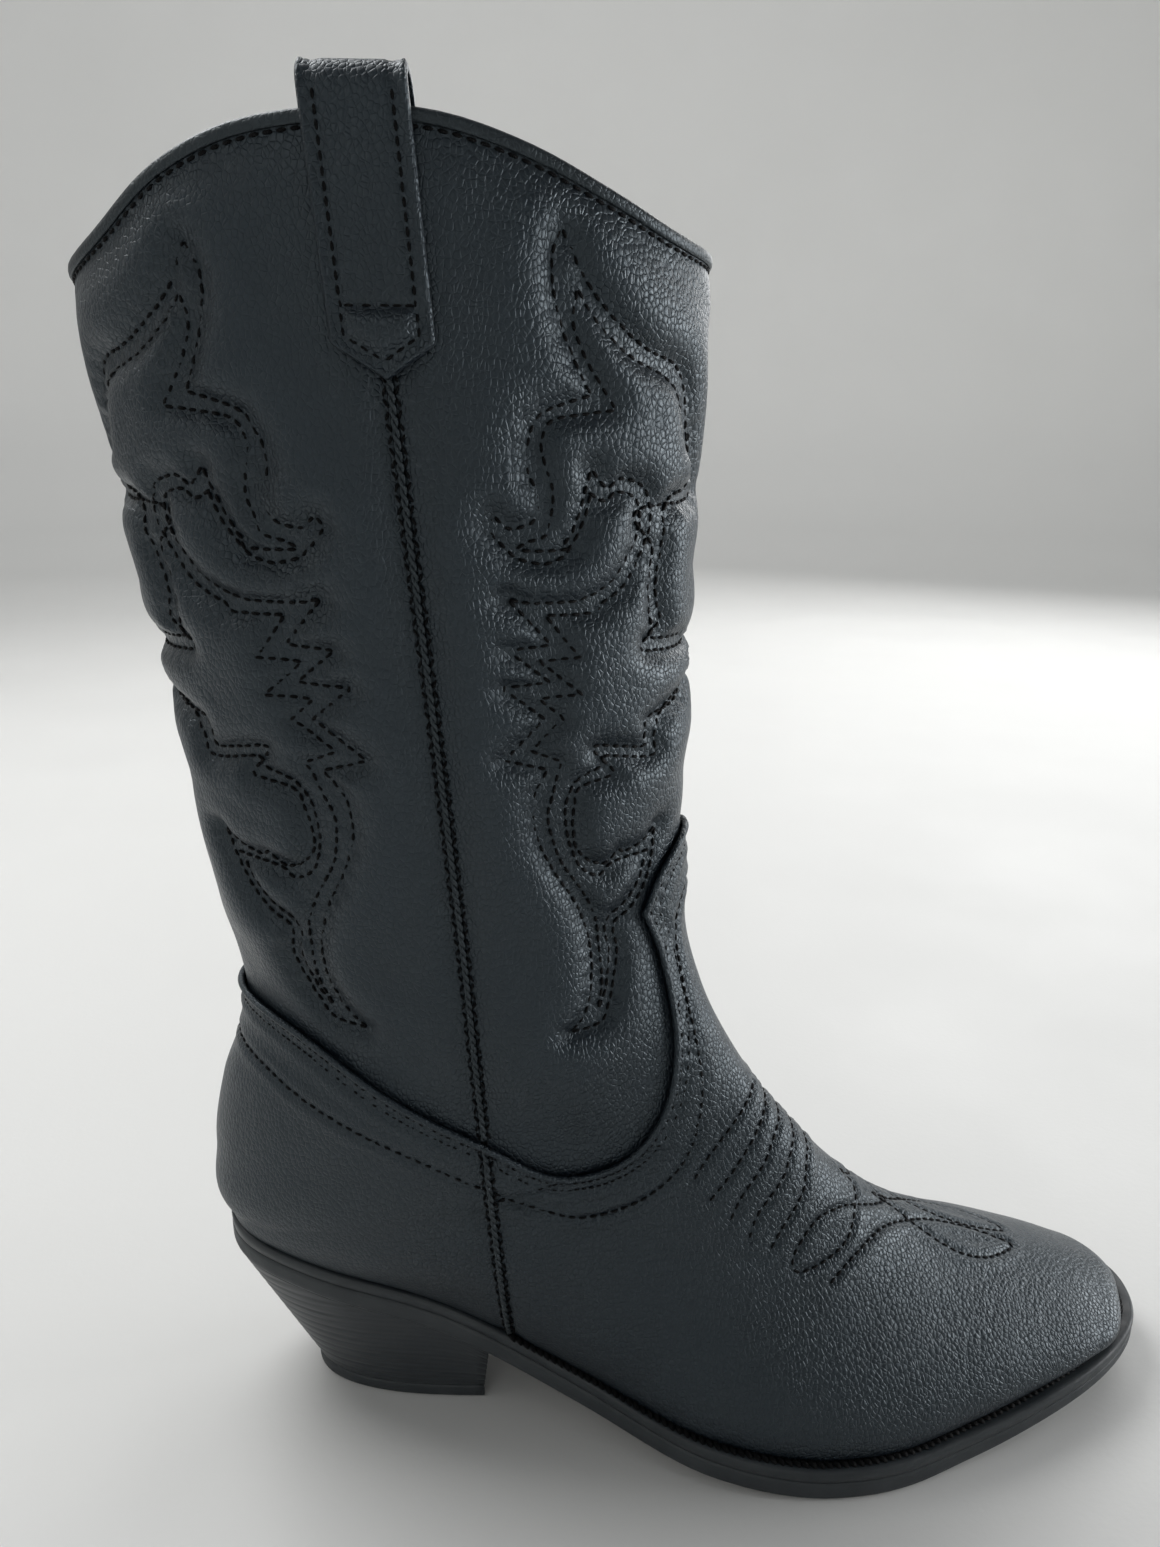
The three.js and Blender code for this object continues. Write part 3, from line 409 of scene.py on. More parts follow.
def section_rows(rows):
    """Rows given as (s, v), on both sides."""
    made = []
    for row in rows:
        line = rounded(row, 8)
        line[:, 1] = np.minimum(line[:, 1], 1)
        made += [surface_row(line, side) for side in (-1, 1)]
    return made


def offset_line(line, distance):
    """A side-view line moved sideways, to the left of its direction when positive."""
    along = unit(np.gradient(line, axis=0))
    return line + distance * np.stack([-along[:, 1], along[:, 0]], axis=1)


def inside_profile(line):
    """Cuts a side-view line to the part between the boot's back and front profile."""
    ridge = chart[::-1, -1]
    back = chart[FIRST_FOOT * CHART_STEPS - 1::-1, 0]
    fine = resample(line, 1.0)
    ahead = np.interp(fine[:, 1], ridge[:, 2], ridge[:, 0]) - fine[:, 0]
    behind = fine[:, 0] - np.interp(fine[:, 1], back[:, 2], back[:, 0])
    return fine[(ahead > 0) & (behind > 0)]


def side_rows(line):
    """A side-view line on both sides of the boot, run on to the back and to the front ridge."""
    places = place_in_side_view(inside_profile(line))
    places = np.vstack([[places[0, 0], 0], places, [places[-1, 0], 1]])
    return [surface_row(places, side) for side in (-1, 1)]


EDGE_ROW_INSETS = (2.1, 4.1)       # of the two rows along the edge of vamp and counter
RIM_ROW_INSET = 2.5
front_outer, front_inner = panel_rows(QUILT_OUTER, True), panel_rows(QUILT_INNER, True)
back_outer, back_inner = panel_rows(QUILT_OUTER, False), panel_rows(QUILT_INNER, False)
foot_rows = section_rows(INSTEP) + section_rows(TOE_LEAF)
edge_rows = [row for inset in EDGE_ROW_INSETS for row in side_rows(offset_line(FOOT_LINE, -inset))]
low_rows = side_rows(rounded(FOOT_LOW_ROW, 5))
rim_rows = side_rows(offset_line(RIM_LINE, -RIM_ROW_INSET))


def tree_of(rows):
    points = np.vstack([p for p, _ in rows])
    along = np.concatenate([np.arange(len(p)) * ROW_PITCH for p, _ in rows])
    tree = KDTree(len(points))
    for k, p in enumerate(points):
        tree.insert(p, k)
    tree.balance()
    return tree, along


def nearest(tree, points):
    found = [tree.find(p) for p in points]
    return np.array([f[2] for f in found]), np.array([f[1] for f in found])


outer_tree, outer_along = tree_of(front_outer + back_outer)
inner_tree, _ = tree_of(front_inner + back_inner)
foot_tree, foot_along = tree_of(foot_rows + low_rows + edge_rows)
rim_tree, _ = tree_of(rim_rows)


def softness(points):
    """A slow, smooth unevenness, from -1 to 1, as stretched leather has."""
    x, y, z = points.T
    return (np.sin(x / 9.7 + 1.3 * np.sin(z / 13)) + np.sin(z / 11.3 + 1.7 * np.sin(y / 9 + x / 31))
            + np.sin((x + y - z) / 15.1)) / 3


BAND = 3.1                         # width of the flat channel between paired rows
CHANNEL_DEPTH = 1.3
PUFF_HEIGHT, PUFF_REACH = 3.5, 2.6     # of the padding between the rows, and how soon it gets there
PUFF_SAG = 1.2                     # it falls back by this much far from any row
PUCKER, PUCKER_PITCH = 0.26, 4.6   # of the small folds drawn in by the stitches
SEAM_DIP = 0.7


def shaft_relief(points):
    """How far the quilted shaft leather stands off the plain surface: low in the channels, full between."""
    outer, index = nearest(outer_tree, points)
    inner, _ = nearest(inner_tree, points)
    rim, _ = nearest(rim_tree, points)
    beyond = np.maximum(0, (outer + inner - BAND) / 2)
    beyond = np.minimum(beyond, np.maximum(0, outer - 0.3) + 4 * (outer > 6))
    rise = 1 - np.exp(-(beyond / PUFF_REACH) ** 1.25)
    height = -CHANNEL_DEPTH + PUFF_HEIGHT * rise - PUFF_SAG * smoothstep(beyond, 7, 20)
    along = outer_along[index]
    pucker = np.sin(2 * np.pi * along / PUCKER_PITCH + 1.9 * np.sin(along / 7.3))
    height += PUCKER * pucker * np.exp(-((beyond - 1.8) / 1.8) ** 2)
    height += 0.3 * softness(points) * rise
    seam = np.abs(points[:, 0] - seam_x(points[:, 2]))
    height *= smoothstep(seam, 1, 9)
    height -= SEAM_DIP * np.exp(-(np.maximum(seam - SEAM_HALF, 0) / 2.0) ** 2)
    height *= smoothstep(rim, -2, 9)
    height -= 0.35 * np.exp(-(rim / 1.2) ** 2)
    edge = side_distance(points[:, 0], points[:, 2], FOOT_LINE)
    calm = smoothstep(edge, -2, 12)
    dip = LAP_DEPTH * (1 - smoothstep(edge, 8, 26))
    return height * calm - dip


def foot_relief(points):
    """The foot leather is plain, drawn in a little along each stitch row."""
    near, index = nearest(foot_tree, points)
    height = -0.55 * np.exp(-(near / 1.0) ** 2) + 0.40 * np.exp(-((near - 2.3) / 1.4) ** 2)
    along = foot_along[index]
    height += 0.07 * np.sin(2 * np.pi * along / 5.1 + np.sin(along / 5)) * np.exp(-(near / 3) ** 2)
    height += 0.12 * softness(points) * smoothstep(near, 2, 8)
    seam = np.abs(points[:, 0] - seam_x(points[:, 2]))
    return height - 0.45 * np.exp(-(np.maximum(seam - SEAM_HALF, 0) / 1.8) ** 2)


# ---------------------------------------------------------------- materials
class Shader:
    """A principled material with its nodes, made step by step."""

    def __init__(self, name, color, roughness, **fixed):
        self.material = bpy.data.materials.new(name)
        self.material.use_nodes = True
        self.nodes = self.material.node_tree.nodes
        self.links = self.material.node_tree.links
        self.shader = self.nodes["Principled BSDF"]
        self.shader.inputs["Base Color"].default_value = (*color, 1)
        self.shader.inputs["Roughness"].default_value = roughness
        for key, value in fixed.items():
            self.shader.inputs[key.replace("_", " ")].default_value = value
        self.place = self.nodes.new("ShaderNodeTexCoord").outputs["Object"]
        self.bump = None

    def node(self, kind, **values):
        made = self.nodes.new(kind)
        for key, value in values.items():
            if hasattr(made, key):
                setattr(made, key, value)
            else:
                made.inputs[key.replace("_", " ")].default_value = value
        return made

    def stretched(self, scale, turn=(0, 0, 0)):
        mapping = self.node("ShaderNodeMapping")
        mapping.inputs["Scale"].default_value = scale
        mapping.inputs["Rotation"].default_value = turn
        self.links.new(self.place, mapping.inputs["Vector"])
        return mapping.outputs[0]

    def noise(self, scale, detail=3, rough=0.55, at=None):
        made = self.node("ShaderNodeTexNoise", Scale=scale, Detail=detail, Roughness=rough)
        self.links.new(at or self.place, made.inputs["Vector"])
        return made.outputs[0]

    def cells(self, scale, feature="F1", at=None):
        made = self.node("ShaderNodeTexVoronoi", Scale=scale)
        made.feature = feature
        if feature == "SMOOTH_F1":
            made.inputs["Smoothness"].default_value = 0.25
        self.links.new(at or self.place, made.inputs["Vector"])
        return made.outputs["Distance"]

    def waves(self, scale, axis, distortion):
        made = self.node("ShaderNodeTexWave", Scale=scale, Distortion=distortion)
        made.bands_direction = axis
        self.links.new(self.place, made.inputs["Vector"])
        return made.outputs["Fac"]

    def spread(self, source, low, high, start=0.3, end=0.7):
        made = self.node("ShaderNodeMapRange")
        for key, value in (("From Min", start), ("From Max", end), ("To Min", low), ("To Max", high)):
            made.inputs[key].default_value = value
        self.links.new(source, made.inputs["Value"])
        return made.outputs[0]

    def blend(self, amount, one, other):
        made = self.node("ShaderNodeMix", data_type="RGBA")
        self.links.new(amount, made.inputs[0])
        for socket, value in ((made.inputs[6], one), (made.inputs[7], other)):
            if isinstance(value, bpy.types.NodeSocket):
                self.links.new(value, socket)
            else:
                socket.default_value = (*value, 1)
        return made.outputs[2]

    def sum(self, one, other, kind="ADD"):
        made = self.node("ShaderNodeMath", operation=kind)
        for socket, value in zip(made.inputs, (one, other)):
            if isinstance(value, (int, float)):
                socket.default_value = value
            else:
                self.links.new(value, socket)
        return made.outputs[0]

    def relief(self, source, depth_mm):
        made = self.node("ShaderNodeBump", Strength=1.0, Distance=depth_mm * MM)
        self.links.new(source, made.inputs["Height"])
        if self.bump is not None:
            self.links.new(self.bump, made.inputs["Normal"])
        self.bump = made.outputs[0]

    def use(self, color=None, roughness=None):
        if color is not None:
            self.links.new(color, self.shader.inputs["Base Color"])
        if roughness is not None:
            self.links.new(roughness, self.shader.inputs["Roughness"])
        if self.bump is not None:
            self.links.new(self.bump, self.shader.inputs["Normal"])
        return self.material


PEBBLES = 800                      # leather grain cells in a metre


def leather_material(name, dark, light, rough_low, rough_high, grain):
    """Pebbled synthetic leather: rounded cells, fine pores, a painted highlight lightening the raised crests,
    and a soft sheen.
    """
    m = Shader(name, dark, rough_low, Specular_IOR_Level=0.68, Specular_Tint=(0.78, 0.92, 1.0, 1))
    across = m.stretched((1.0, 1.0, 0.8), (0.2, 0.1, 0.35))
    pebbles = m.cells(PEBBLES, "SMOOTH_F1", across)
    pits = m.spread(m.cells(PEBBLES, "DISTANCE_TO_EDGE", across), 0, 1, 0.0, 0.14)
    drawn = m.noise(260, 2, 0.5, m.stretched((1.0, 1.0, 0.5), (0.5, 0.2, 0.1)))
    height = m.sum(m.sum(pebbles, -0.6, "MULTIPLY"), m.sum(pits, 0.35, "MULTIPLY"))
    m.relief(m.sum(height, m.sum(drawn, 0.5, "MULTIPLY")), grain)
    m.relief(m.noise(2600, 4, 0.65), 0.035)
    wear = m.noise(38, 3, 0.6)
    painted_crest_highlight = m.node("ShaderNodeAttribute", attribute_name="crest").outputs["Fac"]
    tint = m.blend(m.spread(wear, 0, 1), dark, light)
    # painted highlight: the raised crests of the quilting are lightened towards 1.5 times the light tone
    tint = m.blend(painted_crest_highlight, tint, tuple(1.5 * c for c in light))
    rough = m.sum(m.spread(wear, rough_low, rough_high), m.sum(pebbles, 0.12, "MULTIPLY"))
    return m.use(tint, rough)


def woven_material(name, color, light, scale=900):
    m = Shader(name, color, 0.9, Sheen_Weight=0.35, Sheen_Roughness=0.5)
    weave = m.sum(m.waves(scale, "X", 0.4), m.waves(scale, "Z", 0.4), "MULTIPLY")
    m.relief(weave, 0.12)
    m.relief(m.noise(1800, 3), 0.05)
    return m.use(m.blend(m.spread(weave, 0, 1, 0.1, 0.8), color, light), m.spread(m.noise(60), 0.8, 0.97))


def rubber_material(name, color, light, rough):
    m = Shader(name, color, rough, Specular_IOR_Level=0.45)
    m.relief(m.noise(900, 4, 0.6), 0.06)
    m.relief(m.noise(120, 3), 0.08)
    tint = m.blend(m.spread(m.noise(70, 4), 0, 1), color, light)
    return m.use(tint, m.spread(m.noise(160), rough - 0.08, rough + 0.12))


def heel_material(name, color, light):
    """Dark stacked leather board, banded in height and drawn out sideways."""
    m = Shader(name, color, 0.45, Specular_IOR_Level=0.45, Coat_Weight=0.15, Coat_Roughness=0.3)
    lines = m.waves(160, "Z", 0.2)
    fine = m.noise(900, 3, 0.6, m.stretched((0.08, 0.08, 1.0)))
    m.relief(fine, 0.05)
    m.relief(m.noise(1500, 2), 0.02)
    tone = m.sum(m.spread(lines, 0, 0.6), m.sum(fine, 0.5, "MULTIPLY"))
    return m.use(m.blend(tone, color, light), m.spread(fine, 0.36, 0.55))


def thread_material(name, color, light):
    m = Shader(name, color, 0.7, Specular_IOR_Level=0.15)
    ply = m.waves(1500, "DIAGONAL", 1.0)
    m.relief(ply, 0.08)
    return m.use(m.blend(ply, color, light), m.spread(m.noise(500), 0.5, 0.75))


def metal_material(name):
    m = Shader(name, (0.5, 0.52, 0.54), 0.3, Metallic=1.0)
    brushed = m.noise(1400, 3, 0.6, m.stretched((0.06, 1.0, 1.0)))
    m.relief(brushed, 0.02)
    return m.use(m.blend(brushed, (0.42, 0.44, 0.46), (0.62, 0.63, 0.64)), m.spread(brushed, 0.24, 0.42))


def fibre_material(name, color, light, scale=500, depth=0.15):
    m = Shader(name, color, 0.88)
    fibres = m.noise(scale, 5, 0.65, m.stretched((0.35, 1.0, 1.0)))
    m.relief(fibres, depth)
    return m.use(m.blend(m.spread(fibres, 0, 1), color, light), m.spread(m.noise(90), 0.8, 0.96))


def foam_material(name, color, light):
    m = Shader(name, color, 0.95)
    pores = m.cells(700)
    m.relief(pores, 0.25)
    return m.use(m.blend(m.spread(pores, 0, 1, 0.1, 0.6), light, color), m.spread(m.noise(80), 0.88, 1.0))


LEATHER = leather_material("boot_leather", (0.0016, 0.0036, 0.0068), (0.0033, 0.0065, 0.0108),
                           0.29, 0.41, 0.26)
TRIM = leather_material("trim_leather", (0.0020, 0.0034, 0.0050), (0.005, 0.007, 0.009), 0.34, 0.46, 0.15)
THREAD = thread_material("thread", (0.0006, 0.0007, 0.0010), (0.0026, 0.0029, 0.0036))
LINING = woven_material("lining_cloth", (0.012, 0.013, 0.014), (0.035, 0.036, 0.038))
SOCK = woven_material("sock_cloth", (0.018, 0.019, 0.021), (0.045, 0.046, 0.050), 700)
RUBBER = rubber_material("sole_rubber", (0.018, 0.023, 0.027), (0.030, 0.036, 0.040), 0.5)
WELT = rubber_material("welt_rubber", (0.016, 0.021, 0.025), (0.027, 0.033, 0.037), 0.46)
HEEL = heel_material("heel_stack", (0.010, 0.014, 0.018), (0.022, 0.028, 0.033))
STEEL = metal_material("brushed_steel")
CORK = fibre_material("cork_filler", (0.30, 0.17, 0.08), (0.45, 0.29, 0.16), 700, 0.3)
BOARD = fibre_material("fibreboard", (0.28, 0.19, 0.11), (0.40, 0.29, 0.18))
STIFF = fibre_material("stiffener_sheet", (0.42, 0.36, 0.26), (0.55, 0.49, 0.38), 800)
FOAM = foam_material("quilting_foam", (0.22, 0.22, 0.23), (0.34, 0.34, 0.35))


# ---------------------------------------------------------------- meshes
class Pieces:
    """Collects points and faces of one piece, in the boot's own millimetres."""

    def __init__(self):
        self.points, self.faces, self.crest, self.count = [], [], [], 0

    def add(self, points, faces, crest=None):
        points = np.asarray(points, float).reshape(-1, 3)
        self.points.append(points)
        self.crest.append(np.zeros(len(points)) if crest is None else crest)
        self.faces += [tuple(int(i) + self.count for i in face) for face in faces]
        self.count += len(points)
        return self

    def build(self, name, material, slot, replaces=()):
        points = np.vstack(self.points) * MM + SHIFT
        mesh = bpy.data.meshes.new(name)
        mesh.from_pydata(points.tolist(), [], self.faces)
        mesh.polygons.foreach_set("use_smooth", [True] * len(mesh.polygons))
        # per-point share of painted highlight on the raised crests, read by the leather material
        crest = mesh.attributes.new("crest", "FLOAT", "POINT")
        crest.data.foreach_set("value", np.concatenate(self.crest).astype(np.float32))
        mesh.materials.append(material)
        mesh.validate()
        made = bpy.data.objects.new(name, mesh)
        bpy.context.scene.collection.objects.link(made)
        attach(made, "root")
        if replaces:
            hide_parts(*replaces)
        return made


def strip_faces(rows, columns, close_columns=False, close_rows=False, flip=False):
    """Quads of a grid of points, in rows."""
    faces = []
    for i in range(rows if close_rows else rows - 1):
        for j in range(columns if close_columns else columns - 1):
            a, b = i * columns + j, i * columns + (j + 1) % columns
            c, d = (i + 1) % rows * columns + (j + 1) % columns, (i + 1) % rows * columns + j
            faces.append((a, d, c, b) if flip else (a, b, c, d))
    return faces


def capped(rows, columns, flip=False):
    """Faces of a closed stack of rings, with one face over each end."""
    ends = [tuple(range(columns))[::-1], tuple(range((rows - 1) * columns, rows * columns))]
    if flip:
        ends = [end[::-1] for end in ends]
    return strip_faces(rows, columns, close_columns=True, flip=flip) + ends


def circles(across, up, sides):
    """A circle of unit radius about each point, in the plane of two directions given at each."""
    angle = np.linspace(0, 2 * np.pi, sides, endpoint=False)
    return across[:, None] * np.cos(angle)[None, :, None] + up[:, None] * np.sin(angle)[None, :, None]


def tube(path, radius, sides, normals):
    """A round cord along a path of points, closed at both ends."""
    along = unit(np.gradient(path, axis=0))
    across = unit(np.cross(along, normals))
    up = unit(np.cross(across, along))
    return path[:, None] + circles(across, up, sides) * radius, capped(len(path), sides)


def stitch_shapes(rows, pitch, length, radius, lift, turn=0.0, sway=0.0):
    """Short threads laid along rows of (points, normals); turn slants each one from the row."""
    made = Pieces()
    sides = 6
    profile = [(-0.5, 0.45), (-0.25, 1.0), (0.25, 1.0), (0.5, 0.45)]
    for points, normals in rows:
        along = lengths(points)
        count = int(along[-1] / pitch)
        if count < 1:
            continue
        at = (np.arange(count) + 0.5) * along[-1] / count
        centre, up = sample(points, along, at), unit(sample(normals, along, at))
        direction = unit(sample(np.gradient(points, axis=0), along, at))
        across = unit(np.cross(direction, up))
        slant = turn if not sway else sway * (-1.0) ** np.arange(count)[:, None]
        direction = unit(direction * np.cos(slant) + across * np.sin(slant))
        ring = circles(unit(np.cross(direction, up)), up, sides)
        shapes = []
        for end, share in profile:
            middle = centre + direction * (end * length) + up * (lift - 0.35 * radius * (share < 1))
            shapes.append(middle[:, None] + ring * radius * share)
        block = np.stack(shapes, axis=1).reshape(count, -1, 3)
        size = len(profile) * sides
        base = capped(len(profile), sides)
        faces = [tuple(i + k * size for i in face) for k in range(count) for face in base]
        made.add(block, faces)
    return made


def on_relief(rows, relief):
    return [(p + n * relief(p)[:, None], n) for p, n in rows]


def skin_grid(first, last, pitch):
    """A fine grid over the upper from one section to another, both sides, split along the centre lines."""
    rows = []
    for k in range(int(first), int(math.ceil(last))):
        top, bottom = max(k, first), min(k + 1, last)
        apart = upper_point(bottom, chart_v, -1) - upper_point(top, chart_v, -1)
        reach = np.linalg.norm(apart, axis=1).max()
        rows += list(np.linspace(top, bottom, max(2, int(reach / pitch) + 1), endpoint=False))
    rows = np.array(rows + [last])
    section = upper_point(4 if last <= 9 else 11, chart_v, -1)
    around = np.linalg.norm(np.diff(section, axis=0), axis=1).sum()
    half = np.linspace(0, 1, int(around / pitch) + 1)
    lateral = upper_frame(rows[:, None], half[None, :], -1)
    medial = upper_frame(rows[:, None], half[-2::-1][None, :], 1)
    points = np.concatenate([lateral[0], medial[0]], axis=1)
    normals = np.concatenate([lateral[1], medial[1]], axis=1)
    ridge = len(half) - 1
    level = normals[:, ridge].copy()
    level[:, 1] = 0
    normals[:, ridge] = np.where((rows < FIRST_FOOT)[:, None], unit(level), normals[:, ridge])
    closed = rows <= FIRST_FOOT
    level = unit(normals[:, 0] + normals[:, -1])
    normals[closed, 0] = level[closed]
    normals[closed, -1] = level[closed]
    count, width = points.shape[:2]
    number = np.arange(count * width).reshape(count, width)
    number[closed, -1] = number[closed, 0]
    a, b, c, d = number[:-1, :-1], number[:-1, 1:], number[1:, 1:], number[1:, :-1]
    triangles = np.concatenate([np.stack(corners, -1).reshape(-1, 3) for corners in ((a, d, c), (a, c, b))])
    data = np.concatenate([points, normals], axis=-1).reshape(-1, 6)
    return data, triangles


def clipped(data, triangles, field):
    """Keeps the part of a triangle mesh where field(points) is positive, cut exactly along the line."""
    value = field(data[:, :3])
    inside = value > 0
    kept = inside[triangles].sum(axis=1)
    whole = triangles[kept == 3]
    extra, made, known = [], [], {}

    def crossing(a, b):
        key = (min(a, b), max(a, b))
        if key not in known:
            t = value[a] / (value[a] - value[b])
            known[key] = len(data) + len(extra)
            extra.append(lerp(data[a], data[b], t))
        return known[key]

    for triangle in triangles[(kept == 1) | (kept == 2)]:
        ring = []
        for k in range(3):
            a, b = int(triangle[k]), int(triangle[(k + 1) % 3])
            if inside[a]:
                ring.append(a)
            if inside[a] != inside[b]:
                ring.append(crossing(a, b))
        made += [(ring[0], ring[k], ring[k + 1]) for k in range(1, len(ring) - 1)]
    data = np.vstack([data, np.array(extra)]) if extra else data
    triangles = np.vstack([whole, np.array(made)]) if made else whole
    used, triangles = np.unique(triangles, return_inverse=True)
    return data[used], triangles.reshape(-1, 3)


def ahead_of_seam(points):
    return points[:, 0] - seam_x(points[:, 2]) - SEAM_HALF + 0.5


def behind_seam(points):
    return seam_x(points[:, 2]) - points[:, 0] - SEAM_HALF + 0.5


def below_rim(points):
    return -side_distance(points[:, 0], points[:, 2], RIM_LINE)


def above_foot(points):
    return side_distance(points[:, 0], points[:, 2], FOOT_LINE) + LAP_WIDTH


def below_foot(points):
    return -side_distance(points[:, 0], points[:, 2], FOOT_LINE)


CREST_START = 0.9                  # leather that stands out further than this gets a painted highlight in its colour


def skin(grid, fields, relief, depth=0.0):
    """Points, triangles and painted-highlight share of the part of a grid that every field keeps, at a depth.
    """
    data, triangles = grid
    for field in fields:
        data, triangles = clipped(data, triangles, field)
    normals = unit(data[:, 3:])
    height = relief(data[:, :3]) if relief else np.zeros(len(data))
    points = data[:, :3] + normals * (height - depth)[:, None]
    # the last value is the share of painted highlight, higher where the leather stands further out
    return points, triangles, np.clip((height - CREST_START) / 3, 0, 0.4)


SHAFT_END = 9.6                    # section at which the shaft skin has passed under the foot leather
FOOT_START = 3                     # section above the top of the vamp's tongue
shaft_grid = skin_grid(0, SHAFT_END, 1.2)
foot_grid = skin_grid(FOOT_START, LAST, 1.4)
coarse_grid = skin_grid(0, SHAFT_END, 3.0)



# shaft and foot leather; the upper edge of vamp and counter is rolled
ROLLED_EDGE = 0.95                 # radius
for name, field in (("front", ahead_of_seam), ("back", behind_seam)):
    panel = Pieces().add(*skin(shaft_grid, [below_rim, above_foot, field], shaft_relief))
    panel.build(f"shaft_{name}_quilted", LEATHER, "outer_leather", [f"shaft_{name}_panel"])

vamp = Pieces().add(*skin(foot_grid, [below_foot, ahead_of_seam], foot_relief))
counter = Pieces().add(*skin(foot_grid, [below_foot, behind_seam], foot_relief))
for points, normals in side_rows(offset_line(FOOT_LINE, -0.5)):
    ahead = points[:, 0] > seam_x(points[:, 2])
    for part, keep in ((vamp, ahead), (counter, ~ahead)):
        part.add(*tube(points[keep] - 0.1 * normals[keep], ROLLED_EDGE, 8, normals[keep]))
vamp.build("vamp_leather", LEATHER, "outer_leather", ["vamp"])
counter.build("counter_leather", LEATHER, "outer_leather", ["heel_counter"])

# stitching
stitch = dict(pitch=2.9, length=2.1, radius=0.42, lift=0.2)
fine = dict(pitch=2.0, length=1.4, radius=0.28, lift=0.1)
for name, rows, relief, size in (("quilt_stitching_front", front_outer + front_inner, shaft_relief, stitch),
                                 ("quilt_stitching_back", back_outer + back_inner, shaft_relief, stitch),
                                 ("vamp_stitching", foot_rows, foot_relief, stitch),
                                 ("foot_edge_stitching", edge_rows, foot_relief, fine),
                                 ("foot_row_stitching", low_rows, foot_relief, stitch),
                                 ("rim_stitching", rim_rows, shaft_relief, stitch)):
    stitch_shapes(on_relief(rows, relief), **size).build(name, THREAD, "trim")

# linings and hidden foam
LINING_DEPTH = 4.6
PAD_OUTER, PAD_INNER = 1.9, 3.9    # depths of the foam's two faces
for name, field in (("front", ahead_of_seam), ("back", behind_seam)):
    wall = lambda p, field=field: field(p) + 0.8
    cut = [below_rim, lambda p: above_foot(p) - LAP_WIDTH, wall]
    points, triangles, _ = skin(coarse_grid, cut, None, LINING_DEPTH)
    cloth = Pieces().add(points, triangles[:, ::-1])
    cloth.build(f"shaft_{name}_cloth", LINING, "lining", [f"shaft_{name}_lining"])
    padding = lambda p, field=field: field(p) - 3.2
    cut = [lambda p: below_rim(p) - 10, lambda p: side_distance(p[:, 0], p[:, 2], FOOT_LINE) - 40, padding]
    outer, triangles, _ = skin(coarse_grid, cut, lambda p: 0.75 * shaft_relief(p), PAD_OUTER)
    inner, _, _ = skin(coarse_grid, cut, None, PAD_INNER)
    pad = Pieces().add(np.vstack([outer, inner]), np.vstack([triangles, triangles[:, ::-1] + len(outer)]))
    pad = pad.build(f"shaft_{name}_padding", FOAM, "foam", [f"shaft_{name}_foam"])


# ---------------------------------------------------------------- side welts
def seam_path(side, top, bottom):
    """Points and normals down one side seam, between two heights."""
    heights = np.linspace(top, bottom, int(abs(top - bottom) / 0.8) + 2)
    places = place_in_side_view([(seam_x(z), z) for z in heights])
    return upper_frame(places[:, 0], places[:, 1], side)


def crosswise(points, normals):
    return unit(np.cross(unit(np.gradient(points, axis=0)), normals))


STRAND, STRAND_TURN = 0.55, 4.8    # radius of a strand, and length of one full twist


def braided(points, normals, base):
    """Two strands twisted round each other on the surface."""
    made = Pieces()
    across = crosswise(points, normals)
    for phase in (0, np.pi):
        turn = lengths(points) * 2 * np.pi / STRAND_TURN + phase
        rise, sway = base + 0.3 * np.sin(turn), 0.5 * np.cos(turn)
        path = points + normals * rise[:, None] + across * sway[:, None]
        made.add(*tube(path, STRAND, 6, normals))
    return made


def edge_height(x, line):
    return float(np.interp(x, line[:, 0], line[:, 1]))


welt_top = edge_height(SEAM_TOP_X - 1, RIM_LINE) - 6.5    # the cord starts under the tape and the strap
welt_lap = edge_height(seam_x(103), FOOT_LINE)
welt_sole = float(sole_top(seam_x(45))) + 1.2
for side, word in ((-1, "lateral"), (1, "medial")):
    for part, top, bottom, relief in (("shaft", welt_top, welt_lap + 1, shaft_relief),
                                      ("foot", welt_lap, welt_sole, foot_relief)):
        points, normals = seam_path(side, top, bottom)
        base = relief(points) + 0.5
        cord = braided(points, normals, base)
        cord.build(f"{part}_braid_{word}", TRIM, "trim", [f"{part}_welt_{word}"])
        across = crosswise(points, normals)
        rows = [(points + across * shift + normals * base[:, None], normals) for shift in (-1.35, 1.35)]
        zigzag = stitch_shapes(rows, 2.5, 2.0, 0.33, -0.1, sway=0.45)
        zigzag.build(f"{part}_seam_stitching_{word}", THREAD, "trim")

# ---------------------------------------------------------------- rim binding
RIM_STEPS = 110                    # along each side of the rim
turns = np.concatenate([np.linspace(0, 1, RIM_STEPS), np.linspace(1, 0, RIM_STEPS)[1:-1]])
sides = np.concatenate([-np.ones(RIM_STEPS), np.ones(RIM_STEPS - 2)])
rim_s = []
for v in turns:
    column = upper_point(chart_s[:3 * CHART_STEPS], v, -1)
    rim_s.append(np.interp(0, below_rim(column), chart_s[:3 * CHART_STEPS]))
rim_s = np.array(rim_s)
rim_points = np.empty((len(turns), 3))
rim_normals = np.empty((len(turns), 3))
for side in (-1, 1):
    mine = sides == side
    rim_points[mine], rim_normals[mine] = upper_frame(rim_s[mine], turns[mine], side)
rim_normals[0] = unit(rim_normals[0] * [1, 0, 1])
rim_up = unit(np.cross(np.roll(rim_points, -1, axis=0) - np.roll(rim_points, 1, axis=0), rim_normals))
rim_up *= np.sign(rim_up[:, 2:])
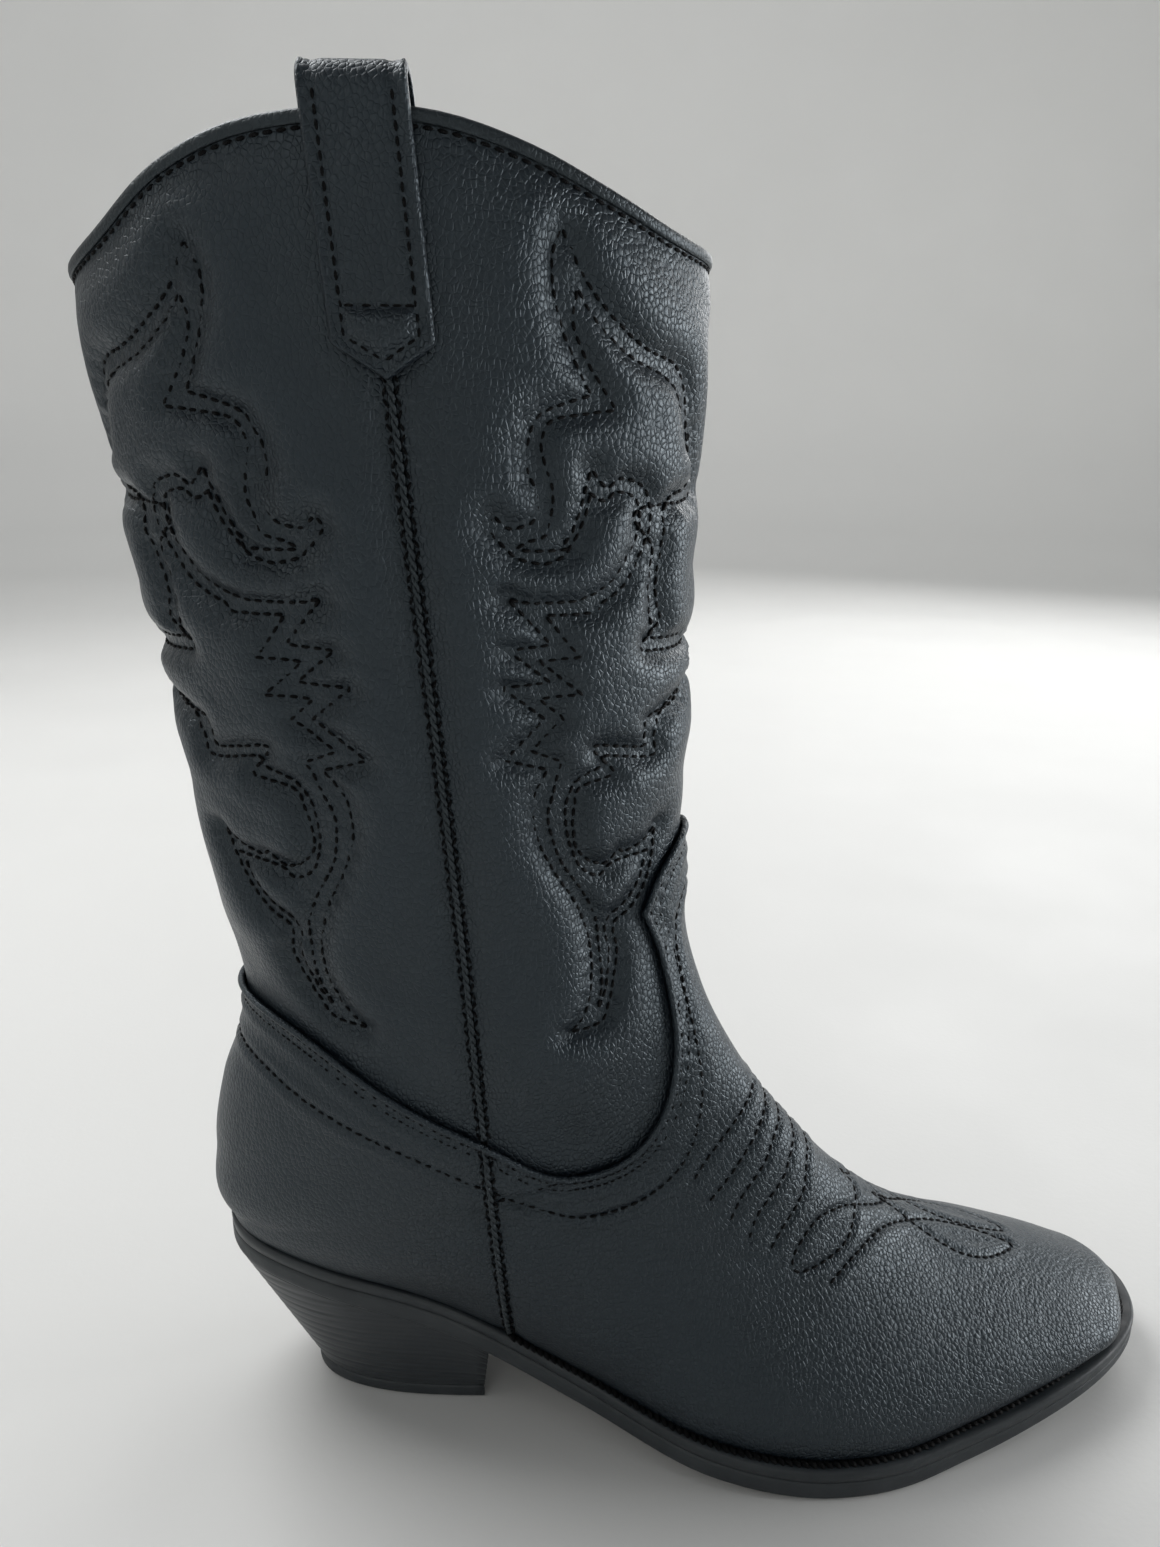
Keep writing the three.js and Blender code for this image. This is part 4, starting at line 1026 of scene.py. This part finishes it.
# section of the folded tape: outward and upward from the rim
BINDING = [(0.0, -1.9), (0.5, -1.8), (0.75, -1.3), (0.8, -0.3), (0.6, 0.5), (0.0, 0.95), (-2.5, 1.1),
           (-4.8, 1.0), (-5.6, 0.5), (-5.85, -0.6), (-5.9, -5.2), (-5.4, -5.6), (-5.2, -5.2), (-5.1, -0.6),
           (-0.1, -0.3)]
loops = [rim_points + rim_normals * out + rim_up * up for out, up in BINDING]
binding = np.stack(loops, axis=1)
tape = Pieces().add(binding, strip_faces(len(turns), len(BINDING), True, True))
tape.build("rim_binding", TRIM, "trim", ["top_binding"])


# ---------------------------------------------------------------- pull straps
def strap_height(x, z):
    """Relief of the strap's face: rolled edges, a sunk stitch row and a full pentagon at the tip."""
    off = np.abs(x)
    slope = math.hypot(STRAP_HALF, STRAP_SHOULDER - STRAP_TIP)
    tip_edge = ((z - STRAP_TIP) * STRAP_HALF - off * (STRAP_SHOULDER - STRAP_TIP)) / slope
    edge = np.minimum(STRAP_HALF - off, tip_edge)
    inner = np.minimum(edge - STRAP_ROW, STRAP_BAR - z)
    height = 0.45 * np.exp(-((edge - 0.7) / 0.5) ** 2) - 0.35 * np.exp(-((edge - STRAP_ROW) / 0.8) ** 2)
    height -= 0.5 * np.exp(-((z - STRAP_BAR) / 1.1) ** 2) * (edge > 3)
    return height + 2.2 * (1 - np.exp(-np.maximum(inner, 0) / 2.2)) - 0.5 * smoothstep(-edge, -0.5, 0.1)


def wall(z):
    """Half-width of the shaft at a height near the rim."""
    return at_station(HALF_WIDTH, (FRONT_Z[0] - z) / (FRONT_Z[0] - FRONT_Z[1]))


def strap_path():
    """Middle line (y, z) of the strap, from its tip up and over into the boot; height where it bends."""
    out_y = float(wall(RIM_PEAK)) + STRAP_STAND_OFF
    in_y = float(wall(RIM_PEAK)) - WALL_DEPTH - STRAP_STAND_OFF - STRAP_BOW
    radius = (out_y - in_y) / 2
    base = STRAP_TOP - STRAP_THICK / 2 - radius
    path = [(float(wall(z)) + STRAP_STAND_OFF, z) for z in np.arange(STRAP_TIP + 0.15, base - 0.3, 0.9)]
    path += [((out_y + in_y) / 2 + radius * math.cos(a), base + radius * math.sin(a))
             for a in np.linspace(0, math.pi, 15)]
    path += [(float(wall(z)) - WALL_DEPTH - STRAP_STAND_OFF - STRAP_BOW, z)
             for z in np.arange(base - 1, STRAP_INSIDE, -1.2)]
    return np.array(path), base


def strap_middle(z):
    return seam_x(STRAP_TIP) - (z - STRAP_TIP) * STRAP_LEAN


path, base = strap_path()
for side, word in ((-1, "lateral"), (1, "medial")):
    along = unit(np.gradient(path, axis=0))
    outward = np.stack([along[:, 1], -along[:, 0]], axis=1)
    share = np.sin(np.linspace(-1, 1, 31) * np.pi / 2)
    outer_leg = np.arange(len(path)) < np.argmax(path[:, 1])
    narrow = np.where(outer_leg, np.clip((path[:, 1] - STRAP_TIP) / (STRAP_SHOULDER - STRAP_TIP), 0.01, 1), 1)
    x = share[None, :] * STRAP_HALF * narrow[:, None]
    z = np.repeat(path[:, 1:], len(share), axis=1)
    face_z = np.where(outer_leg[:, None], z, STRAP_TOP)
    lift = strap_height(x, face_z)
    lift = np.where(outer_leg[:, None] | (path[:, 1:] > base), lift, 0.2 * lift)
    ends = 1 - np.abs(share) ** 6
    layers = []
    for shift in (STRAP_THICK / 2 + lift - 0.35 * (1 - ends), np.full_like(lift, -STRAP_THICK / 2)):
        y = side * (path[:, :1] + outward[:, :1] * shift)
        layers.append(np.stack([strap_middle(z) + x, y, z + outward[:, 1:] * shift], axis=-1))
    ring = np.concatenate([layers[0], layers[1][:, ::-1]], axis=1)
    width = ring.shape[1]
    faces = strip_faces(len(path), width, close_columns=True, flip=side < 0)
    faces += [tuple(range(width)), tuple(range((len(path) - 1) * width, len(path) * width))]
    strap = Pieces().add(ring, faces)
    strap.build(f"strap_{word}", LEATHER, "outer_leather", [f"pull_strap_{word}"])
    rows = []
    inset = STRAP_HALF - STRAP_ROW
    shoulder = STRAP_SHOULDER + 1.7
    outline = [(-inset, STRAP_TOP - 2), (-inset, shoulder), (0, STRAP_TIP + 3.8), (inset, shoulder),
               (inset, STRAP_TOP - 2)]
    for line in (outline, [(-inset, STRAP_BAR), (inset, STRAP_BAR)]):
        line = resample(line, 0.6)
        line = line[line[:, 1] < base]
        for part in (line[line[:, 0] < 0], line[line[:, 0] >= 0]):
            height = STRAP_THICK / 2 + strap_height(part[:, 0], part[:, 1])
            y = side * (wall(part[:, 1]) + STRAP_STAND_OFF + height)
            points = np.stack([strap_middle(part[:, 1]) + part[:, 0], y, part[:, 1]], axis=1)
            rows.append((points, np.tile([0.0, side, 0.0], (len(points), 1))))
    stitch_shapes(rows, 2.6, 1.9, 0.36, 0.12).build(f"strap_stitching_{word}", THREAD, "trim")


# ---------------------------------------------------------------- sole, welt and heel
SOLE_STEPS = 120                   # along each side of the sole


def outline_loop():
    """The sole's outline as one loop, back to toe on the outer side and home on the inner one."""
    turn = np.concatenate([np.linspace(0, 1, SOLE_STEPS), np.linspace(1, 0, SOLE_STEPS)[1:-1]])
    side = np.concatenate([-np.ones(SOLE_STEPS), np.ones(SOLE_STEPS - 2)])
    x = x_at_turn(turn)
    y = sole_middle(x) + side * smooth_curve(OUTLINE_TURN, OUTLINE_HALF, turn)
    loop = np.stack([x, y], axis=1)
    along = unit(np.roll(loop, -1, axis=0) - np.roll(loop, 1, axis=0))
    return loop, np.stack([along[:, 1], -along[:, 0]], axis=1)


loop, loop_out = outline_loop()
loop_size = len(loop)


def sole_layer(profile, low, high):
    """A ring of points for each (outset, share of height, lift) of a profile round the sole."""
    rings = []
    for out, share, lift in profile:
        at = loop + loop_out * out
        x = np.clip(at[:, 0], 0, SOLE_LENGTH)
        rings.append(np.column_stack([at, lerp(low(x), high(x), share) + lift]))
    return np.array(rings)


def ladder(first, flip):
    """Quads straight across the sole's loop, which starts at point number first."""
    faces = []
    for i in range(SOLE_STEPS - 1):
        corners = (i, i + 1, (loop_size - i - 1) % loop_size, (loop_size - i) % loop_size)
        ring = [first + k for k in dict.fromkeys(corners)]
        if len(ring) > 2:
            faces.append(tuple(ring[::-1]) if flip else tuple(ring))
    return faces


def outsole_top(x):
    return sole_top(x) - WELT_HEIGHT - GAP


body = sole_layer([(-1.2, 0, 0), (-0.4, 0, 0.15), (0, 0, 0.8), (0.05, 0.35, 0), (0.05, 0.75, 0),
                   (0.0, 1, -0.15), (-0.2, 1, 0), (-2.5, 1, 0)], sole_bottom, outsole_top)
faces = strip_faces(len(body), loop_size, close_columns=True)
faces += ladder(0, False) + ladder((len(body) - 1) * loop_size, True)
Pieces().add(body, faces).build("outsole_rubber", RUBBER, "sole_rubber", ["outsole"])

rand = sole_layer([(-9, 0, 0), (-1.4, 0, 0), (-0.2, 0, 0), (0.0, 0, 0.15), (0.1, 0.5, 0), (0.05, 1, -0.7),
                   (-0.4, 1, -0.15), (-1.4, 1, 0), (-9, 1, 0)], lambda x: outsole_top(x) + 0.12, sole_top)
faces = strip_faces(len(rand), loop_size, close_columns=True, close_rows=True)
Pieces().add(rand, faces).build("welt_band", WELT, "sole_rubber", ["welt_strip"])

ROPE_START = 84                    # the stitched rope runs round the front of the sole from here
rope_inset = smooth_curve(FEATHER_X, FEATHER_INSET, np.clip(loop[:, 0], 0, SOLE_LENGTH))
rope = loop - loop_out * (rope_inset - 0.9)[:, None]
rope_points = np.column_stack([rope, sole_top(np.clip(rope[:, 0], 0, SOLE_LENGTH)) + 0.25])
rope_points = resample(rope_points[rope[:, 0] > ROPE_START], 0.8)
upward = np.tile([0.0, 0.0, 1.0], (len(rope_points), 1))
cordage = stitch_shapes([(rope_points, upward)], 2.2, 3.0, 0.8, 0.1, turn=0.75)
cordage.build("welt_stitching", THREAD, "trim")


HEEL_LAYER = 3.1                   # height of each layer of the stacked heel
HEEL_STEPS = 30                    # along each side of the heel
HEEL_POWER = 2.6                   # roundness of the heel's foot


def heel_ring(back_x, front_x, half_at, middle_at, height_at):
    """Outline of the heel at one level: round the back from the breast, then across the hollow breast."""
    ring = []
    xs = lerp(front_x, back_x, np.sin(np.pi / 2 * np.arange(HEEL_STEPS + 1) / HEEL_STEPS))
    for side, order in ((1, xs), (-1, xs[-2::-1])):
        for x in order:
            ring.append((x, middle_at(x) + side * half_at(x), height_at(x)))
    for share in np.linspace(0, 1, 14)[1:-1]:
        x = front_x - BREAST_HOLLOW * math.sin(math.pi * share)
        y = middle_at(front_x) + lerp(-half_at(front_x), half_at(front_x), share)
        ring.append((x, y, height_at(x)))
    return np.array(ring, float)


def base_half(x):
    forward = min(1, max(0, (HEEL_FRONT - x) / (HEEL_FRONT - HEEL_BACK)))
    return HEEL_HALF * (1 - forward ** HEEL_POWER) ** (1 / HEEL_POWER)


seat = heel_ring(1.2, BREAST_X, lambda x: max(0, float(sole_half(x)) - 0.8), lambda x: float(sole_middle(x)),
                 lambda x: float(sole_bottom(x)) - GAP)
ground = heel_ring(HEEL_BACK, HEEL_FRONT, base_half, lambda x: 0.0, lambda x: LIFT_HEIGHT + GAP)
shares = np.linspace(0, 1, 90)
stack = np.array([lerp(ground, seat, share) for share in shares])
away = unit((stack - stack.mean(axis=1, keepdims=True)) * [1, 1, 0])
phase = np.abs((stack[..., 2] - LIFT_HEIGHT) / HEEL_LAYER % 1 - 0.5) * 2
line = np.exp(-((1 - phase) * HEEL_LAYER / 2 / 0.4) ** 2)
stack = stack - away * (0.2 * line)[..., None]
heel = Pieces().add(stack, capped(len(stack), stack.shape[1], flip=True))
heel.build("heel_stack_block", HEEL, "stacked_heel", ["heel_block"])

levels = [(-0.7, 0.0), (-0.1, 0.5), (0.0, 1.2), (0.0, 3.2), (-0.25, 3.85), (-0.8, LIFT_HEIGHT)]
away = unit((ground - ground.mean(axis=0)) * [1, 1, 0])
lift = np.array([ground * [1, 1, 0] + away * out + [0, 0, z] for out, z in levels])
top_lift = Pieces().add(lift, capped(len(lift), len(ground), flip=True))
top_lift.build("top_lift", RUBBER, "sole_rubber", ["heel_top_lift"])

# heel pad: a crowned cushion between the insole board and the sock
pad_low, pad_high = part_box("heel_pad")
PAD_STEPS = 25
steps = np.linspace(-1, 1, PAD_STEPS)
across, forward = np.meshgrid(steps, steps)
disc_x, disc_y = forward * np.sqrt(1 - across ** 2 / 2), across * np.sqrt(1 - forward ** 2 / 2)
crown = np.sqrt(np.maximum(0, 1 - disc_x ** 2 - disc_y ** 2))
pad_x = lerp(pad_low[0], pad_high[0], (disc_x + 1) / 2) / MM - SHIFT[0] / MM
pad_y = lerp(pad_low[1], pad_high[1], (disc_y + 1) / 2) / MM - SHIFT[1] / MM
floor_z = sole_top(pad_x) + GAP + 0.1
faces = strip_faces(PAD_STEPS, PAD_STEPS)
top = np.stack([pad_x, pad_y, floor_z + 0.4 + 1.9 * crown ** 0.5], axis=-1)
under = np.stack([pad_x, pad_y, floor_z], axis=-1)
cushion = Pieces().add(top, faces).add(under, [face[::-1] for face in faces])
cushion = cushion.build("heel_cushion", FOAM, "foam", ["heel_pad"])

# ---------------------------------------------------------------- finishes of the CAD pieces that stay
FINISHES = {
    "vamp_lining": LINING, "counter_lining": LINING, "toe_puff": STIFF, "counter_stiffener": STIFF,
    "insole_board": BOARD, "bottom_filler": CORK, "sock_liner": SOCK, "shank": STEEL, "heel_screw": STEEL,
}
for name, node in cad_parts.items():
    if node.hide_render:
        continue
    node.data.materials.clear()
    node.data.materials.append(FINISHES.get(name, STEEL))

# ---------------------------------------------------------------- floor, backdrop, light and camera
# the floor turns up into the backdrop all round, like a wide bowl; metres
FLOOR_SIDES = 64
FLOOR_DROP = 0.0002                # under the heel and the ball
radius = np.array([0, 0.3, 0.7, 1.2, 1.8, 2.3, 2.55, 2.72, 2.8, 2.8, 2.8])
height = np.array([0, 0, 0, 0, 0, 0.02, 0.09, 0.24, 0.5, 1.4, 3.2])
turns = np.linspace(0, 2 * np.pi, FLOOR_SIDES, endpoint=False)
bowl = np.stack([radius[:, None] * np.cos(turns), radius[:, None] * np.sin(turns),
                 np.repeat(height[:, None], FLOOR_SIDES, axis=1) - FLOOR_DROP], axis=-1)
mesh = bpy.data.meshes.new("floor")
mesh.from_pydata(bowl.reshape(-1, 3).tolist(), [], strip_faces(len(radius), FLOOR_SIDES, close_columns=True))
mesh.polygons.foreach_set("use_smooth", [True] * len(mesh.polygons))
paper = Shader("pale_paper", (0.74, 0.74, 0.725), 0.7)
paper.relief(paper.noise(400, 3), 0.05)
mesh.materials.append(paper.use(roughness=paper.spread(paper.noise(8), 0.5, 0.7)))
floor = bpy.data.objects.new("floor", mesh)
bpy.context.scene.collection.objects.link(floor)

world = bpy.data.worlds.new("studio")
world.use_nodes = True
world.node_tree.nodes["Background"].inputs["Color"].default_value = (0.93, 0.96, 1.0, 1)
world.node_tree.nodes["Background"].inputs["Strength"].default_value = 0.2
bpy.context.scene.world = world
bpy.context.scene.view_settings.view_transform = "Standard"


def soft_light(name, place, aim, size, power, color=(1, 1, 1)):
    """A rectangular lamp; place, aim and size in metres, power in watts."""
    lamp = bpy.data.lights.new(name, "AREA")
    lamp.shape = "RECTANGLE"
    lamp.size, lamp.size_y = size
    lamp.energy = power
    lamp.color = color
    made = bpy.data.objects.new(name, lamp)
    bpy.context.scene.collection.objects.link(made)
    made.location = place
    made.rotation_euler = Vector(np.array(aim) - np.array(place)).to_track_quat("-Z", "Y").to_euler()


soft_light("top_light", (-0.7, 0.5, 1.3), (-0.1, 0, 0.05), (0.9, 0.8), 13)
soft_light("left_light", (-1.8, -0.3, 1.1), (0, 0, 0.1), (1.0, 1.2), 2, (1.0, 0.99, 0.97))
soft_light("right_light", (1.7, 0.2, 0.4), (0, 0, 0.22), (1.2, 0.7), 19, (0.97, 0.98, 1.0))
soft_light("behind_light", (0.9, 1.5, 0.9), (0.05, 0, 0.1), (1.2, 0.8), 11)
soft_light("front_light", (-0.8, -2.0, 1.3), (0, 0, 0.1), (0.9, 0.9), 2.5)
soft_light("backdrop_light", (0, 1.1, 1.5), (0, 2.7, 0.5), (1.6, 0.6), 8)

LOOK_DOWN = 16.2                   # degrees
camera = bpy.data.cameras.new("camera")
camera.lens = 25.98
camera.sensor_width = 36
camera.clip_start = 0.01
eye = bpy.data.objects.new("camera", camera)
bpy.context.scene.collection.objects.link(eye)
eye.location = np.array([100.5, -296.5, 276.5]) * MM + SHIFT
tilt = Matrix.Rotation(math.radians(-1.0), 4, "Z") @ Matrix.Rotation(math.radians(90 - LOOK_DOWN), 4, "X")
eye.rotation_euler = (tilt @ Matrix.Rotation(math.radians(0.5), 4, "Z")).to_euler()
bpy.context.scene.camera = eye
